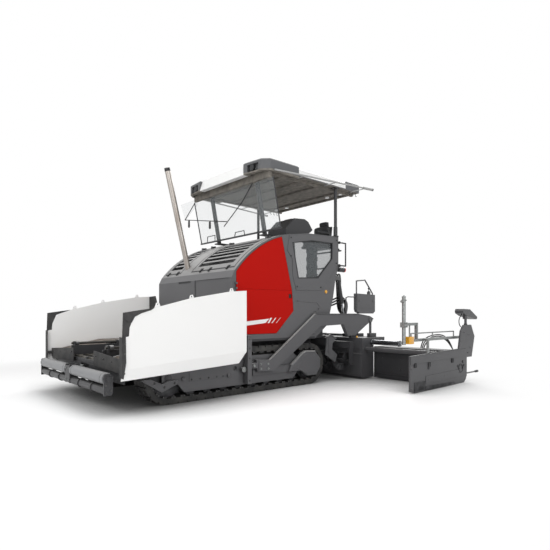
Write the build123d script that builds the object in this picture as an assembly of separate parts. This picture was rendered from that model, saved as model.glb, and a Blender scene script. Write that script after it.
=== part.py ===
"""Tracked asphalt paver with a telescopic screed, built as separate named pieces.

Axes: X to the machine's left, Y to the rear, Z up. Origin: middle of the overall
length and width, on the ground under the tracks. Every size is in millimetres.
"""

import math
import os

from build123d import *

# ---------------------------------------------------------------- overall sizes
HALF_LENGTH = 3400.0
SIDES = (("left", 1), ("right", -1))

# tracks
TRACK_INNER_X = 870.0
TRACK_OUTER_X = 1190.0
TRACK_RADIUS = 380.0
TRACK_BAND = 90.0
SHOE_PAD_HEIGHT = 26.0
SHOE_COUNT = 52
SHOE_GAP = 22.0
IDLER_Y = -2385.0
SPROCKET_Y = 515.0
ROLLER_RADIUS = 82.0
ROLLER_COUNT = 8
ROLLER_FIRST_Y = -2010.0
ROLLER_PITCH = 300.0
TRACK_FRAME_INNER_X = 900.0
TRACK_FRAME_OUTER_X = 1175.0
TRACK_CHEEK = 28.0
LINK_X = (1150.0, 1186.0)
LINK_LENGTH = 58.0
LINK_HEIGHT = 30.0
IDLER_HUB_RADIUS = 60.0
SPROCKET_HUB_RADIUS = 150.0

# body
BODY_OUTER_X = 1205.0
PANEL_THICKNESS = 40.0
BODY_FRONT_Y = -1280.0
SKIRT_Z = 840.0
GIRDER_TOP_Z = 740.0
CROSS_TOP_Z = 520.0
PLATFORM_TOP_Z = 880.0
DECK_Z = 1900.0
DECK_THICKNESS = 50.0
HOOD_SHELL = 26.0
DOOR_GAP = 6.0
DOOR_HINGE_X = BODY_OUTER_X + 13.0
DOOR_HINGE_Y = -1190.0
DOOR_HINGE_Z = (1150.0, 1750.0)

# hood lids: inner edge, outer edge across the machine
LID_SPANS = {"left": (-170.0, 1130.0), "right": (-1130.0, -550.0)}
LID_FRONT_Y = -1175.0
LID_REAR_Y = -360.0
LID_GAP = 6.0
LID_HINGE_Y = -341.0
LID_HINGE_Z = 2652.0
LID_HINGE_INSET = 120.0
# louvred openings in the lids: span across the machine and span along the hood
LOUVRE_SPANS = {"left": (-80.0, 990.0), "right": (-1070.0, -640.0)}
LOUVRE_Y = (-1090.0, -450.0)
LOUVRE_COUNT = 6
LOUVRE_WIDTH = 46.0
LOUVRE_THICKNESS = 12.0
LOUVRE_SINK = 17.0

# hopper
HINGE_X = 700.0
HINGE_Z = 820.0
HINGE_ROD_RADIUS = 20.0
RUNNING_GAP = 0.3
HOPPER_FRONT_Y = -HALF_LENGTH + 280.0
WING_FRONT_Y = -HALF_LENGTH + 165.0
WING_FLOOR_FRONT_Y = -HALF_LENGTH + 250.0
WING_REAR_Y = -1290.0
WING_SHEET = 20.0
WING_LUG_Y = (HOPPER_FRONT_Y + 60.0, -2350.0, -1360.0)
WING_FOLD_Y = -2330.0
WING_WALL_X = 1575.0
WING_CREASE_Z = (600.0, 736.0)
WING_EYE_Y = (-2760.0, -2249.0, -1567.0)
CONVEYOR_Z = 620.0
SLAT_COUNT = 12
SLAT_PITCH = 160.0

# push rollers
PUSH_ROLLER_Z = 480.0
PUSH_ROLLER_RADIUS = 75.0
PUSH_ROLLER_Y = -HALF_LENGTH + PUSH_ROLLER_RADIUS
PUSH_ROLLER_INNER_X = 110.0
PUSH_ROLLER_OUTER_X = 1340.0
PUSH_PIVOT_Y = PUSH_ROLLER_Y + 150.0
NOSE_FRONT_Y = PUSH_ROLLER_Y + 265.0

# tow arms
TOW_PIN_Y = -885.0
TOW_PIN_Z = 450.0
TOW_PIN_RADIUS = 24.0
ARM_INNER_X = 1223.0
ARM_OUTER_X = 1278.0

# screed
SCREED_HALF_X = 1500.0
SCREED_FRONT_Y = 1685.0
SCREED_BOTTOM_Z = 30.0
SCREED_TOP_Z = 820.0
EXTENSION_INNER_X = SCREED_HALF_X + 20.0
EXTENSION_REACH = 1500.0
GATE_INNER_X = SCREED_HALF_X + EXTENSION_REACH
GATE_THICKNESS = 30.0
SLIDE_TUBE_RADIUS = 45.0
SLIDE_TUBE_Z = 600.0
SLIDE_TUBE_Y = {"left": 1830.0, "right": 1950.0}

# lashing and towing eyes on the frame
EYE_RADIUS = 20.0
EYE_THICKNESS = 30.0
EYE_MARGIN = 45.0
REAR_EYE_Y = 1110.0
REAR_EYE_Z = 460.0
FRONT_EYE_X = 300.0
FRONT_EYE_Y = NOSE_FRONT_Y - 45.0
FRONT_EYE_Z = 450.0

# augers
AUGER_Y = 1400.0
AUGER_Z = 370.0
AUGER_RADIUS = 190.0
AUGER_SHAFT_RADIUS = 45.0
AUGER_PITCH = 290.0
AUGER_END_X = SCREED_HALF_X - 60.0
FLIGHT_THICKNESS = 16.0
FLIGHT_STEPS = 14
FLIGHT_CLEARANCE = 40.0

# canopy
ROOF_TOP_Z = 3930.0
ROOF_DEPTH = 140.0
ROOF_BOTTOM_Z = ROOF_TOP_Z - ROOF_DEPTH
CEILING_Z = ROOF_BOTTOM_Z - 20.0
VISOR_Z = CEILING_Z - 130.0
DASH_TOP_Z = 2726.0
ROOF_HALF_X = 1240.0
ROOF_SPAN_Y = (-550.0, 1930.0)
ROOF_WALL = 40.0
FASCIA_HALF_X = 700.0
FASCIA_DROP = 50.0
WINDSCREEN_HALF_X = 1240.0
WINDSCREEN_FOOT = (-263.0, 2800.0)
WINDSCREEN_HEAD_Y = -440.0
POST_X = 720.0

NODES = {}


def add(name, shape):
    """Keep a finished piece under its node name."""
    NODES[name] = shape


def fuse(solids):
    """Join a list of overlapping or separate solids into one piece."""
    first, rest = solids[0], solids[1:]
    return first + rest if rest else first


def block(x_span, y_span, z_span):
    """Box between two values on each axis."""
    sizes = [span[1] - span[0] for span in (x_span, y_span, z_span)]
    middle = [(span[1] + span[0]) / 2 for span in (x_span, y_span, z_span)]
    return Pos(*middle) * Box(*sizes)


def side_plate(points, x_span):
    """Plate whose outline is given in Y and Z and which is as thick as x_span."""
    face = make_face(Polyline(*points, close=True))
    return extrude(Plane.YZ.offset(x_span[0]) * face, amount=x_span[1] - x_span[0])


def curved_plate(edges, x_span):
    """As side_plate, from a closed run of lines and arcs in Y and Z."""
    face = make_face(Wire(edges))
    return extrude(Plane.YZ.offset(x_span[0]) * face, amount=x_span[1] - x_span[0])


def plan_plate(points, z_span):
    """Plate whose outline is given in X and Y and which is as thick as z_span."""
    face = make_face(Polyline(*points, close=True))
    return extrude(Plane.XY.offset(z_span[0]) * face, amount=z_span[1] - z_span[0])


def groove(points, x, radius):
    """Half-round groove along a run of Y and Z points on a face at x."""
    return bent_tube([(x, y, z) for y, z in points], radius)


def rod_x(radius, x_span, y, z):
    """Round bar along X."""
    length = x_span[1] - x_span[0]
    return Pos((x_span[0] + x_span[1]) / 2, y, z) * Rot(0, 90, 0) * Cylinder(radius, length)


def rod_y(radius, y_span, x, z):
    """Round bar along Y."""
    length = y_span[1] - y_span[0]
    return Pos(x, (y_span[0] + y_span[1]) / 2, z) * Rot(90, 0, 0) * Cylinder(radius, length)


def rod_z(radius, z_span, x, y):
    """Round bar along Z."""
    length = z_span[1] - z_span[0]
    return Pos(x, y, (z_span[0] + z_span[1]) / 2) * Cylinder(radius, length)


def bar(start, end, radius):
    """Round bar between two points."""
    path = Vector(*end) - Vector(*start)
    plane = Plane(origin=start, z_dir=path)
    return extrude(plane * Circle(radius), amount=path.length)


def bent_tube(points, radius):
    """Round tube through a run of points, with a ball at every bend."""
    solids = [bar(a, b, radius) for a, b in zip(points, points[1:])]
    solids += [Pos(*point) * Sphere(radius) for point in points[1:-1]]
    return fuse(solids)


def on_side(shape, sign):
    """The piece itself on the left, its mirror image on the right."""
    return shape if sign > 0 else mirror(shape, about=Plane.YZ)


def both_sides(shape):
    """The piece together with its mirror image."""
    return fuse([shape, mirror(shape, about=Plane.YZ)])


# ---------------------------------------------------------------- tracks
def loop_point(distance, radius):
    """Point and outward direction on the track loop at a distance along it."""
    straight = SPROCKET_Y - IDLER_Y
    arc = math.pi * radius
    distance = distance % (2 * straight + 2 * arc)
    if distance < straight:
        return (IDLER_Y + distance, TRACK_RADIUS - radius), -90.0
    if distance < straight + arc:
        angle = -90.0 + math.degrees((distance - straight) / radius)
        centre = SPROCKET_Y
    elif distance < 2 * straight + arc:
        return (SPROCKET_Y - (distance - straight - arc), TRACK_RADIUS + radius), 90.0
    else:
        angle = 90.0 + math.degrees((distance - 2 * straight - arc) / radius)
        centre = IDLER_Y
    turn = math.radians(angle)
    return (centre + radius * math.cos(turn), TRACK_RADIUS + radius * math.sin(turn)), angle


def track_loop():
    """Closed band with every shoe standing out of it, for the left side."""
    base_radius = TRACK_RADIUS - SHOE_PAD_HEIGHT
    straight = SPROCKET_Y - IDLER_Y
    inner = TRACK_RADIUS - TRACK_BAND
    length = 2 * straight + 2 * math.pi * base_radius
    pitch = length / SHOE_COUNT
    outline = []
    for shoe in range(SHOE_COUNT):
        start = shoe * pitch + SHOE_GAP / 2
        end = (shoe + 1) * pitch - SHOE_GAP / 2
        for distance, lift in ((start, 0), (start, SHOE_PAD_HEIGHT),
                               (end, SHOE_PAD_HEIGHT), (end, 0)):
            (y, z), angle = loop_point(distance, base_radius)
            turn = math.radians(angle)
            outline.append((y + lift * math.cos(turn), z + lift * math.sin(turn)))
    band = side_plate(outline, (TRACK_INNER_X, TRACK_OUTER_X))
    hole = block((TRACK_INNER_X - 10, TRACK_OUTER_X + 10), (IDLER_Y, SPROCKET_Y),
                 (TRACK_RADIUS - inner, TRACK_RADIUS + inner))
    ends = [rod_x(inner, (TRACK_INNER_X - 10, TRACK_OUTER_X + 10), y, TRACK_RADIUS)
            for y in (IDLER_Y, SPROCKET_Y)]
    return fuse([band - fuse([hole] + ends)] + track_links(pitch, base_radius, inner))


def track_links(pitch, base_radius, inner):
    """One chain link plate under every shoe, along the loop's outer edge."""
    sink = base_radius - (inner - LINK_HEIGHT / 2 + 3)
    width = LINK_X[1] - LINK_X[0]
    links = []
    for shoe in range(SHOE_COUNT):
        (y, z), angle = loop_point((shoe + 0.5) * pitch, base_radius)
        turn = math.radians(angle)
        place = Pos((LINK_X[0] + LINK_X[1]) / 2, y - sink * math.cos(turn), z - sink * math.sin(turn))
        links.append(place * Rot(angle - 90, 0, 0) * Box(width, LINK_LENGTH, LINK_HEIGHT))
    return links


def track_beam():
    """Side beam inside the left track loop, with its cheek plates and idler guard."""
    cheek = TRACK_CHEEK
    outer_cheek = (TRACK_FRAME_OUTER_X - cheek, TRACK_FRAME_OUTER_X)
    outline = [(-2120, 250), (180, 250), (260, 330), (260, 520), (100, 610),
               (-2100, 610), (-2230, 520), (-2230, 330)]
    core = side_plate(outline, (TRACK_FRAME_INNER_X + cheek, TRACK_FRAME_OUTER_X - cheek))
    wheel_room = TRACK_RADIUS - TRACK_BAND + 10
    for y in (IDLER_Y, SPROCKET_Y):
        core -= rod_x(wheel_room, (TRACK_INNER_X, TRACK_OUTER_X), y, TRACK_RADIUS)
    hanging = [(-2120, 150), (100, 150), (200, 250), (200, 520), (100, 610),
               (-2100, 610), (-2230, 480), (-2480, 460), (-2480, 300), (-2230, 280)]
    plates = [side_plate(hanging, (TRACK_FRAME_INNER_X, TRACK_FRAME_INNER_X + cheek)),
              side_plate(hanging, outer_cheek)]
    plates = [plate - rod_x(IDLER_HUB_RADIUS, (800, 1300), IDLER_Y, TRACK_RADIUS)
              for plate in plates]
    # tensioner hole and the two carrier bolts in the outer cheek, then a stiffening panel
    plates[1] -= rod_x(38, outer_cheek, -1195, 425)
    bosses = [rod_x(24, (TRACK_FRAME_OUTER_X, TRACK_FRAME_OUTER_X + 14), y, z)
              for y, z in ((-2140, 345), (-1327, 320))]
    panel = side_plate([(-2040, 300), (-1420, 300), (-1380, 340), (-1380, 520), (-2040, 520)],
                       (TRACK_FRAME_OUTER_X, TRACK_FRAME_OUTER_X + 6))
    guard = side_plate([(-2820, 388), (-2670, 392), (-2488, 307), (-2400, 350), (-2240, 340),
                        (-2240, 285), (-2320, 262), (-2501, 192)], (1196, 1212))
    guard_boss = rod_x(30, (TRACK_FRAME_OUTER_X - 5, 1200), -2290, 315)
    ties = [block((800, TRACK_FRAME_INNER_X), (y, y + 400), (330, 560)) for y in (-1900, -500)]
    return fuse([core] + ties + plates + bosses + [panel, guard, guard_boss])


def track_wheels():
    """Idler and sprocket of the left track, each with its hub."""
    reach = TRACK_RADIUS - TRACK_BAND
    solids = []
    for y, hub in ((IDLER_Y, IDLER_HUB_RADIUS), (SPROCKET_Y, SPROCKET_HUB_RADIUS)):
        disc = rod_x(reach, (TRACK_INNER_X + 90, TRACK_OUTER_X - 90), y, TRACK_RADIUS)
        boss = rod_x(hub, (800, TRACK_FRAME_OUTER_X), y, TRACK_RADIUS)
        solids.append(disc + boss)
    return solids


def build_tracks():
    cheek = TRACK_CHEEK
    for side, sign in SIDES:
        add(f"track_{side}", on_side(track_loop(), sign))
        add(f"track_beam_{side}", on_side(track_beam(), sign))
    rollers = []
    for index in range(ROLLER_COUNT):
        y = ROLLER_FIRST_Y + index * ROLLER_PITCH
        rollers.append(rod_x(ROLLER_RADIUS - 12, (TRACK_FRAME_INNER_X + cheek,
                                                 TRACK_FRAME_OUTER_X - cheek), y,
                             TRACK_BAND + ROLLER_RADIUS - 12))
    wheels = track_wheels() + rollers
    add("track_wheels", both_sides(fuse(wheels)))
    cover = [(-60, 277), (248, 277), (398, 171), (637, 168), (741, 301), (750, 455),
             (601, 619), (364, 632), (281, 602), (0, 400)]
    strip = [(-850, 277), (-60, 277), (0, 400), (-850, 400)]
    drive = side_plate(cover, (1195, 1260))
    drive = chamfer(drive.faces().sort_by(Axis.X)[-1].edges(), 16)
    drive += side_plate(strip, (1195, 1203))
    drive += side_plate([(120, 330), (330, 230), (600, 226), (680, 320), (686, 440), (575, 565),
                         (385, 572), (300, 545)], (1260, 1264))
    hub = rod_x(120, (TRACK_FRAME_OUTER_X, 1195), SPROCKET_Y, TRACK_RADIUS)
    add("drive_covers", both_sides(drive + hub))


# ---------------------------------------------------------------- frame and hopper base
def eye_plate(x, y_span, z, bore_y):
    """Flat plate with an upright lashing bore through it."""
    half = EYE_THICKNESS / 2
    plate = block((x - EYE_MARGIN, x + EYE_MARGIN), y_span, (z - half, z + half))
    return plate - rod_z(EYE_RADIUS, (z - half - 1, z + half + 1), x, bore_y)


def build_frame():
    girder = block((640, 800), (-2250, BODY_FRONT_Y), (330, GIRDER_TOP_Z))
    girder += block((640, 800), (BODY_FRONT_Y, 1060), (330, SKIRT_Z))
    rear_wing = block((800, 1240), (960, 1060), (700, SKIRT_Z))
    cross = [block((-640, 640), (y, y + 160), (330, CROSS_TOP_Z)) for y in (-2250, -900, 500)]
    cross.append(block((-640, 640), (1000, 1060), (330, CONVEYOR_Z - 20)))
    nose = block((-420, 420), (NOSE_FRONT_Y, -2250), (380, CONVEYOR_Z - 20))
    nose_lug = block((-70, 70), (PUSH_PIVOT_Y - 60, NOSE_FRONT_Y), (430, 470))
    pivot_pin = rod_z(26, (400, 500), 0, PUSH_PIVOT_Y)
    solids = [both_sides(girder + rear_wing)] + cross
    solids += [nose, nose_lug, pivot_pin]
    rear_span = (1060, REAR_EYE_Y + EYE_MARGIN)
    solids.append(eye_plate(0, rear_span, REAR_EYE_Z, REAR_EYE_Y))
    for x in (-FRONT_EYE_X, FRONT_EYE_X):
        span = (FRONT_EYE_Y - EYE_MARGIN, NOSE_FRONT_Y)
        solids.append(eye_plate(x, span, FRONT_EYE_Z, FRONT_EYE_Y))
    add("chassis_frame", fuse(solids))
    platform = block((-BODY_OUTER_X, BODY_OUTER_X), (BODY_FRONT_Y, 640),
                     (SKIRT_Z, PLATFORM_TOP_Z))
    platform += block((-1100, 1100), (640, 1060), (SKIRT_Z, PLATFORM_TOP_Z))
    add("platform", platform)

    floor = block((-640, 640), (HOPPER_FRONT_Y, 1180), (CONVEYOR_Z - 20, CONVEYOR_Z))
    wall_front = block((640, 665), (HOPPER_FRONT_Y, -2250), (CONVEYOR_Z - 60, 790))
    wall_front += block((420, 665), (-2900, -2250), (540, CONVEYOR_Z - 20))
    lugs = []
    for y in WING_LUG_Y:
        lug = block((640, HINGE_X + 32), (y - 12, y + 12), (GIRDER_TOP_Z, HINGE_Z + 32))
        lugs.append(lug)
    bore = rod_y(HINGE_ROD_RADIUS + RUNNING_GAP, (-HALF_LENGTH, -1200), HINGE_X, HINGE_Z)
    side = fuse([wall_front] + lugs)
    side -= bore
    guard = block((-24, 24), (HOPPER_FRONT_Y, -1290), (CONVEYOR_Z, CONVEYOR_Z + 30))
    lip = block((-640, 640), (HOPPER_FRONT_Y, HOPPER_FRONT_Y + 14), (CONVEYOR_Z - 70, CONVEYOR_Z - 20))
    add("hopper_base", fuse([floor, guard, lip, both_sides(side)]))

    slats = []
    for index in range(SLAT_COUNT):
        y = HOPPER_FRONT_Y + 40 + index * SLAT_PITCH
        for lane in (-1, 1):
            span = (30, 610) if lane > 0 else (-610, -30)
            slats.append(block(span, (y, y + 45), (CONVEYOR_Z, CONVEYOR_Z + 22)))
    add("conveyor_slats", fuse(slats))


# ---------------------------------------------------------------- body
def door_edges(grow=0.0):
    """Outline of the service door in Y and Z, grown outward by a gap."""
    front = -1190.0 - grow
    low = 965.0 - grow
    bend = Vector(-1190.0 - grow, 1980.0 + grow / 3)
    crest = Vector(-754.0 - grow / 2, 2384.0 + grow)
    peak = Vector(-199.0 + grow / 2, 2644.0 + grow)
    lines = [Line((front, low), bend), ThreePointArc(bend, crest, peak),
             Line(peak, (44 + grow, 1715)), Line((44 + grow, 1715), (81 + grow, 1350)),
             Line((81 + grow, 1350), (-270 + grow, 1020 - grow)),
             Line((-270 + grow, 1020 - grow), (-330, low)), Line((-330, low), (front, low))]
    return lines


def hood_edges(drop, front_low):
    """Hood line from the bulkhead's foot over the crest, moved inward by drop."""
    front = BODY_FRONT_Y + drop
    chin = Vector(front, 1885)
    brow = Vector(-1222 + drop * 0.8, 2000 - drop * 0.6)
    mid = Vector(-775 + drop * 0.6, 2414 - drop * 0.8)
    crest = Vector(-205 + drop * 0.4, 2678 - drop)
    end = Vector(10, 2722 - drop)
    return (Vector(front, front_low), chin, brow, mid, crest, end)


def hood_solid(drop, x_span, front_low=PLATFORM_TOP_Z):
    """Solid under the hood line."""
    foot, chin, brow, mid, crest, end = hood_edges(drop, front_low)
    lines = [Line(foot, chin), Line(chin, brow), ThreePointArc(brow, mid, crest),
             Line(crest, end), Line(end, (10, front_low)), Line((10, front_low), foot)]
    return curved_plate(lines, x_span)


def hood_arc():
    """Centre and radius of the hood's arc in Y and Z."""
    brow, mid, crest = hood_edges(0, 0)[2:5]
    arc = ThreePointArc(brow, mid, crest)
    return arc.arc_center, arc.radius


def hinge_knuckles(z, lows, bore):
    """Round door hinge knuckles of one hinge, each with its leaf."""
    radius = 11.5
    knuckles = []
    for low, high, leaf_y in lows:
        knuckle = rod_z(radius, (z + low, z + high), DOOR_HINGE_X, DOOR_HINGE_Y)
        leaf_x = DOOR_HINGE_X + (radius if bore else 0)
        knuckle += block((BODY_OUTER_X, leaf_x), leaf_y, (z + low, z + high))
        if bore:
            knuckle -= rod_z(8 + RUNNING_GAP, (z + low - 1, z + high + 1), DOOR_HINGE_X, DOOR_HINGE_Y)
        knuckles.append(knuckle)
    return knuckles


def build_side_panels(panel_x):
    """Side panels from the hood's edge to the rear, each with its window and surround."""
    outline = [(BODY_FRONT_Y, SKIRT_Z), (640, SKIRT_Z), (980, 1080), (1070, 1320),
               (1160, 1610), (1250, 2060), (1320, 2190), (1320, 2810), (1219, 2810),
               (464, 2783), (-45, 2705), (-205, 2678)]
    chin, brow, mid, crest = hood_edges(0, 0)[1:5]
    points = [Vector(*point) for point in outline]
    edges = [Line(a, b) for a, b in zip(points, points[1:])]
    edges += [ThreePointArc(crest, mid, brow), Line(brow, chin), Line(chin, points[0])]
    panel = curved_plate(edges, panel_x)
    panel -= curved_plate(door_edges(DOOR_GAP), (1100, 1300))
    panel -= block(panel_x, (BODY_FRONT_Y, 640), (SKIRT_Z, PLATFORM_TOP_Z))
    surround = [(-20, 2690), (-70, 2420), (55, 2278), (60, 2000), (150, 1725), (795, 1742),
                (1250, 2205), (1300, 2260), (1298, 2785), (470, 2760)]
    panel += side_plate(surround, (BODY_OUTER_X, BODY_OUTER_X + 7))
    window = [(53, 2572), (558, 2661), (1139, 2672), (1127, 2359), (725, 1969), (197, 1941)]
    panel -= side_plate(window, (1100, 1300))
    # access cover below the window, drawn by its joint line
    panel -= groove([(130, 1512), (690, 1505), (762, 1440), (762, 1395), (700, 1338), (560, 1330)],
                    BODY_OUTER_X, 5)
    for z in DOOR_HINGE_Z:
        rear_leaf = (DOOR_HINGE_Y - 30, DOOR_HINGE_Y)
        panel += fuse(hinge_knuckles(z, ((-55, -25, rear_leaf), (25, 55, rear_leaf)), True))
    for side, sign in SIDES:
        add(f"side_panel_{side}", on_side(panel, sign))
    add("side_windows", both_sides(side_plate(window, (panel_x[0] + 14, panel_x[0] + 20))))


def lid_louvres(side):
    """Opening through a hood lid and the louvre blades that cross it."""
    span = LOUVRE_SPANS[side]
    opening = block(span, LOUVRE_Y, (1700, 2900))
    centre, radius = hood_arc()
    turns = [math.degrees(math.acos((y - centre.X) / radius)) for y in LOUVRE_Y]
    blades = []
    for blade in range(1, LOUVRE_COUNT):
        degrees = turns[0] + (turns[1] - turns[0]) * blade / LOUVRE_COUNT
        turn = math.radians(degrees)
        reach = radius - LOUVRE_SINK
        place = Pos((span[0] + span[1]) / 2, centre.X + reach * math.cos(turn),
                    centre.Y + reach * math.sin(turn))
        blade_box = Box(span[1] - span[0] + 8, LOUVRE_WIDTH, LOUVRE_THICKNESS)
        blades.append(place * Rot(degrees - 90, 0, 0) * blade_box)
    return opening, blades


def build_hood(inner_x):
    """Hood shell with its two hinged lids."""
    skin = hood_solid(0, (-inner_x, inner_x)) - hood_solid(HOOD_SHELL, (-1140, 1140), 700)
    skin -= curved_plate(door_edges(-70), (-1300, 1300))
    for inner, outer in LID_SPANS.values():
        span = (inner - LID_GAP, outer + LID_GAP)
        skin -= block(span, (LID_FRONT_Y - LID_GAP, LID_REAR_Y + LID_GAP), (1700, 2900))
    # front wall: the left part is set back by a step, the right part has a hand slot
    skin -= block((110, 1120), (BODY_FRONT_Y - 1, BODY_FRONT_Y + 12), (1180, 1880))
    skin -= block((-440, -20), (BODY_FRONT_Y - 1, BODY_FRONT_Y + 60), (1850, 1884))
    lugs = []
    for side, (inner, outer) in LID_SPANS.items():
        lid = hood_solid(0, (inner, outer)) - hood_solid(HOOD_SHELL, (inner, outer), 700)
        lid &= block((-1300, 1300), (LID_FRONT_Y, LID_REAR_Y), (1700, 2900))
        opening, blades = lid_louvres(side)
        lid = fuse([lid - opening] + blades)
        for x in (inner + LID_HINGE_INSET, outer - LID_HINGE_INSET):
            knuckle = rod_x(12, (x - 20, x + 20), LID_HINGE_Y, LID_HINGE_Z)
            knuckle += rod_x(7, (x - 55, x + 55), LID_HINGE_Y, LID_HINGE_Z)
            knuckle += block((x - 20, x + 20), (-400, LID_HINGE_Y), (LID_HINGE_Z, 2662))
            knuckle += block((x - 20, x + 20), (-400, -370), (2590, 2662))
            lid += knuckle
            for low in (x - 50, x + 25):
                lug = block((low, low + 25), (-353, -325), (2615, 2664))
                lugs.append(lug - rod_x(7 + RUNNING_GAP, (low - 1, low + 26),
                                        LID_HINGE_Y, LID_HINGE_Z))
        add(f"hood_lid_{side}", lid)
    add("hood", fuse([skin] + lugs))


def build_doors(panel_x):
    """Service doors with their hinges, joint groove and latch pocket."""
    door = curved_plate(door_edges(0), panel_x)
    door -= groove([(-1160, 1706), (30, 1710)], BODY_OUTER_X + 1, 4)
    door -= block((BODY_OUTER_X - 14, BODY_OUTER_X + 1), (-30, 40), (1575, 1650))
    for z in DOOR_HINGE_Z:
        door += rod_z(8, (z - 60, z + 60), DOOR_HINGE_X, DOOR_HINGE_Y)
        leaf = (DOOR_HINGE_Y, DOOR_HINGE_Y + 30)
        door += fuse(hinge_knuckles(z, ((-22, 22, leaf),), False))
    for side, sign in SIDES:
        add(f"service_door_{side}", on_side(door, sign))


def build_body():
    panel_x = (BODY_OUTER_X - PANEL_THICKNESS, BODY_OUTER_X)
    inner_x = panel_x[0]
    build_side_panels(panel_x)
    build_hood(inner_x)
    build_doors(panel_x)

    # engine with its cooler under the lids
    engine = [(-1000, PLATFORM_TOP_Z), (-250, PLATFORM_TOP_Z), (-250, 2460), (-420, 2420),
              (-700, 2230), (-1000, 1930)]
    add("engine_block", side_plate(engine, (-620, 620)))

    floor = block((-inner_x, inner_x), (20, 1060), (DECK_Z - DECK_THICKNESS, DECK_Z))
    dash_wall = block((-inner_x, inner_x), (20, 60), (PLATFORM_TOP_Z, DASH_TOP_Z))
    lift_bracket = block((1085, 1100), (1060, 1440), (1965, 2050))
    lift_bracket += block((1160, inner_x), (1020, 1440), (1965, 2050))
    lift_bracket += block((1060, 1100), (1020, 1060), (DECK_Z - DECK_THICKNESS, 2050))
    lift_bracket += rod_x(18, (1100, 1160), 1400, 2000)
    stringer = side_plate([(1060, 1870), (1100, 1900), (1220, 1000), (1180, 960), (1060, 960)],
                          (280, 300))
    ladder = [both_sides(stringer)]
    for rise in range(3):
        tread_z = 1070 + rise * 270
        reach = 1190 - rise * 36
        ladder.append(block((-280, 280), (1075, reach), (tread_z, tread_z + 25)))
    add("deck", fuse([floor, dash_wall, both_sides(lift_bracket)] + ladder))
    add("tank", block((-1060, 1060), (60, 1020), (PLATFORM_TOP_Z, DECK_Z - DECK_THICKNESS)))


# ---------------------------------------------------------------- hopper wings
def wing_skirt(front):
    """Lower band of a wing's wall, which slants inward below the crease."""
    outer_x = WING_WALL_X + WING_SHEET

    def section(y, low):
        share = (y - front) / (WING_REAR_Y - front)
        crease = WING_CREASE_Z[0] + (WING_CREASE_Z[1] - WING_CREASE_Z[0]) * share
        inset = (crease - low) * 0.28
        corners = [(outer_x, y, crease), (outer_x - inset, y, low),
                   (WING_WALL_X - inset, y, low), (WING_WALL_X, y, crease)]
        return make_face(Polyline(*corners, close=True))

    return [loft([section(front, 458), section(-1400, 552)]),
            loft([section(-1400, 552), section(WING_REAR_Y, WING_CREASE_Z[1] - 14)])]


def build_wings():
    sheet = [(WING_FOLD_Y, HINGE_Z - 6), (WING_REAR_Y, HINGE_Z - 6), (WING_REAR_Y, HINGE_Z + 6),
             (WING_FOLD_Y, HINGE_Z + 6), (WING_FLOOR_FRONT_Y, HINGE_Z - 160),
             (WING_FLOOR_FRONT_Y, HINGE_Z - 172)]
    floor = side_plate(sheet, (HINGE_X, WING_WALL_X + 5))
    front = WING_FRONT_Y
    wall_x = (WING_WALL_X, WING_WALL_X + WING_SHEET)
    outer = [(front, WING_CREASE_Z[0]), (WING_REAR_Y, WING_CREASE_Z[1]), (WING_REAR_Y, 1650),
             (-1594, 1627), (-2260, 1513), (front + 392, 1365), (front + 154, 1279),
             (front + 91, 1126), (front + 83, 1019), (front, 1000)]
    wall = side_plate(outer, wall_x)
    # bulkhead stiffener across the wing's rear end and ribs under its floor
    rear_web = block((HINGE_X + 60, WING_WALL_X), (WING_REAR_Y - 12, WING_REAR_Y),
                     (HINGE_Z, HINGE_Z + 44))
    ribs = [block((HINGE_X + 60, 1548), (y, y + 16), (774, HINGE_Z - 6)) for y in (-2200, -1800, -1420)]
    rod = rod_y(HINGE_ROD_RADIUS, (HOPPER_FRONT_Y + 20, WING_REAR_Y), HINGE_X, HINGE_Z)
    wing = fuse([floor, wall, rear_web] + ribs + wing_skirt(front))
    for y in WING_LUG_Y:
        wing -= block((HINGE_X - 60, HINGE_X + 50), (y - 20, y + 20), (600, 900))
    eyes = []
    for y, top in zip(WING_EYE_Y, (1400, 1515, 1632)):
        eye = side_plate([(y - 45, top - 30), (y + 45, top - 14), (y + 18, top + 48),
                          (y - 18, top + 42)], (WING_WALL_X + 2, WING_WALL_X + 14))
        eyes.append(eye - rod_x(11, (1500, 1700), y, top + 22))
    wing = fuse([wing, rod] + eyes)
    for side, sign in SIDES:
        add(f"hopper_wing_{side}", on_side(wing, sign))

    corner = [(front + 11, 1315), (front + 154, 1279), (front + 91, 1126),
              (front + 83, 1019), (front, 1005)]
    flap = side_plate(corner, (WING_WALL_X + 2, WING_WALL_X + 16))
    # strip bolted over the wall's front edge, with its lip turned across the front
    strip = side_plate([(front - 12, 1010), (front + 36, 1018), (front + 42, 690),
                        (front + 8, 492), (front - 12, 500)], (wall_x[1], wall_x[1] + 12))
    lip = block((1520, wall_x[1] + 12), (front - 12, front), (500, 1008))
    gusset = block((1500, WING_WALL_X), (WING_FLOOR_FRONT_Y - 90, WING_FLOOR_FRONT_Y), (612, 652))
    apron_y = (WING_FLOOR_FRONT_Y - 12, WING_FLOOR_FRONT_Y)
    apron = extrude(Plane.XZ.offset(-apron_y[1]) * make_face(Polyline(
        (430, 560), (1480, 520), (1552, 560), (1552, 700), (430, 770), close=True)),
        amount=apron_y[1] - apron_y[0])
    for side, sign in SIDES:
        add(f"wing_flap_{side}", on_side(fuse([flap, strip, lip, gusset, apron]), sign))


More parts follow.
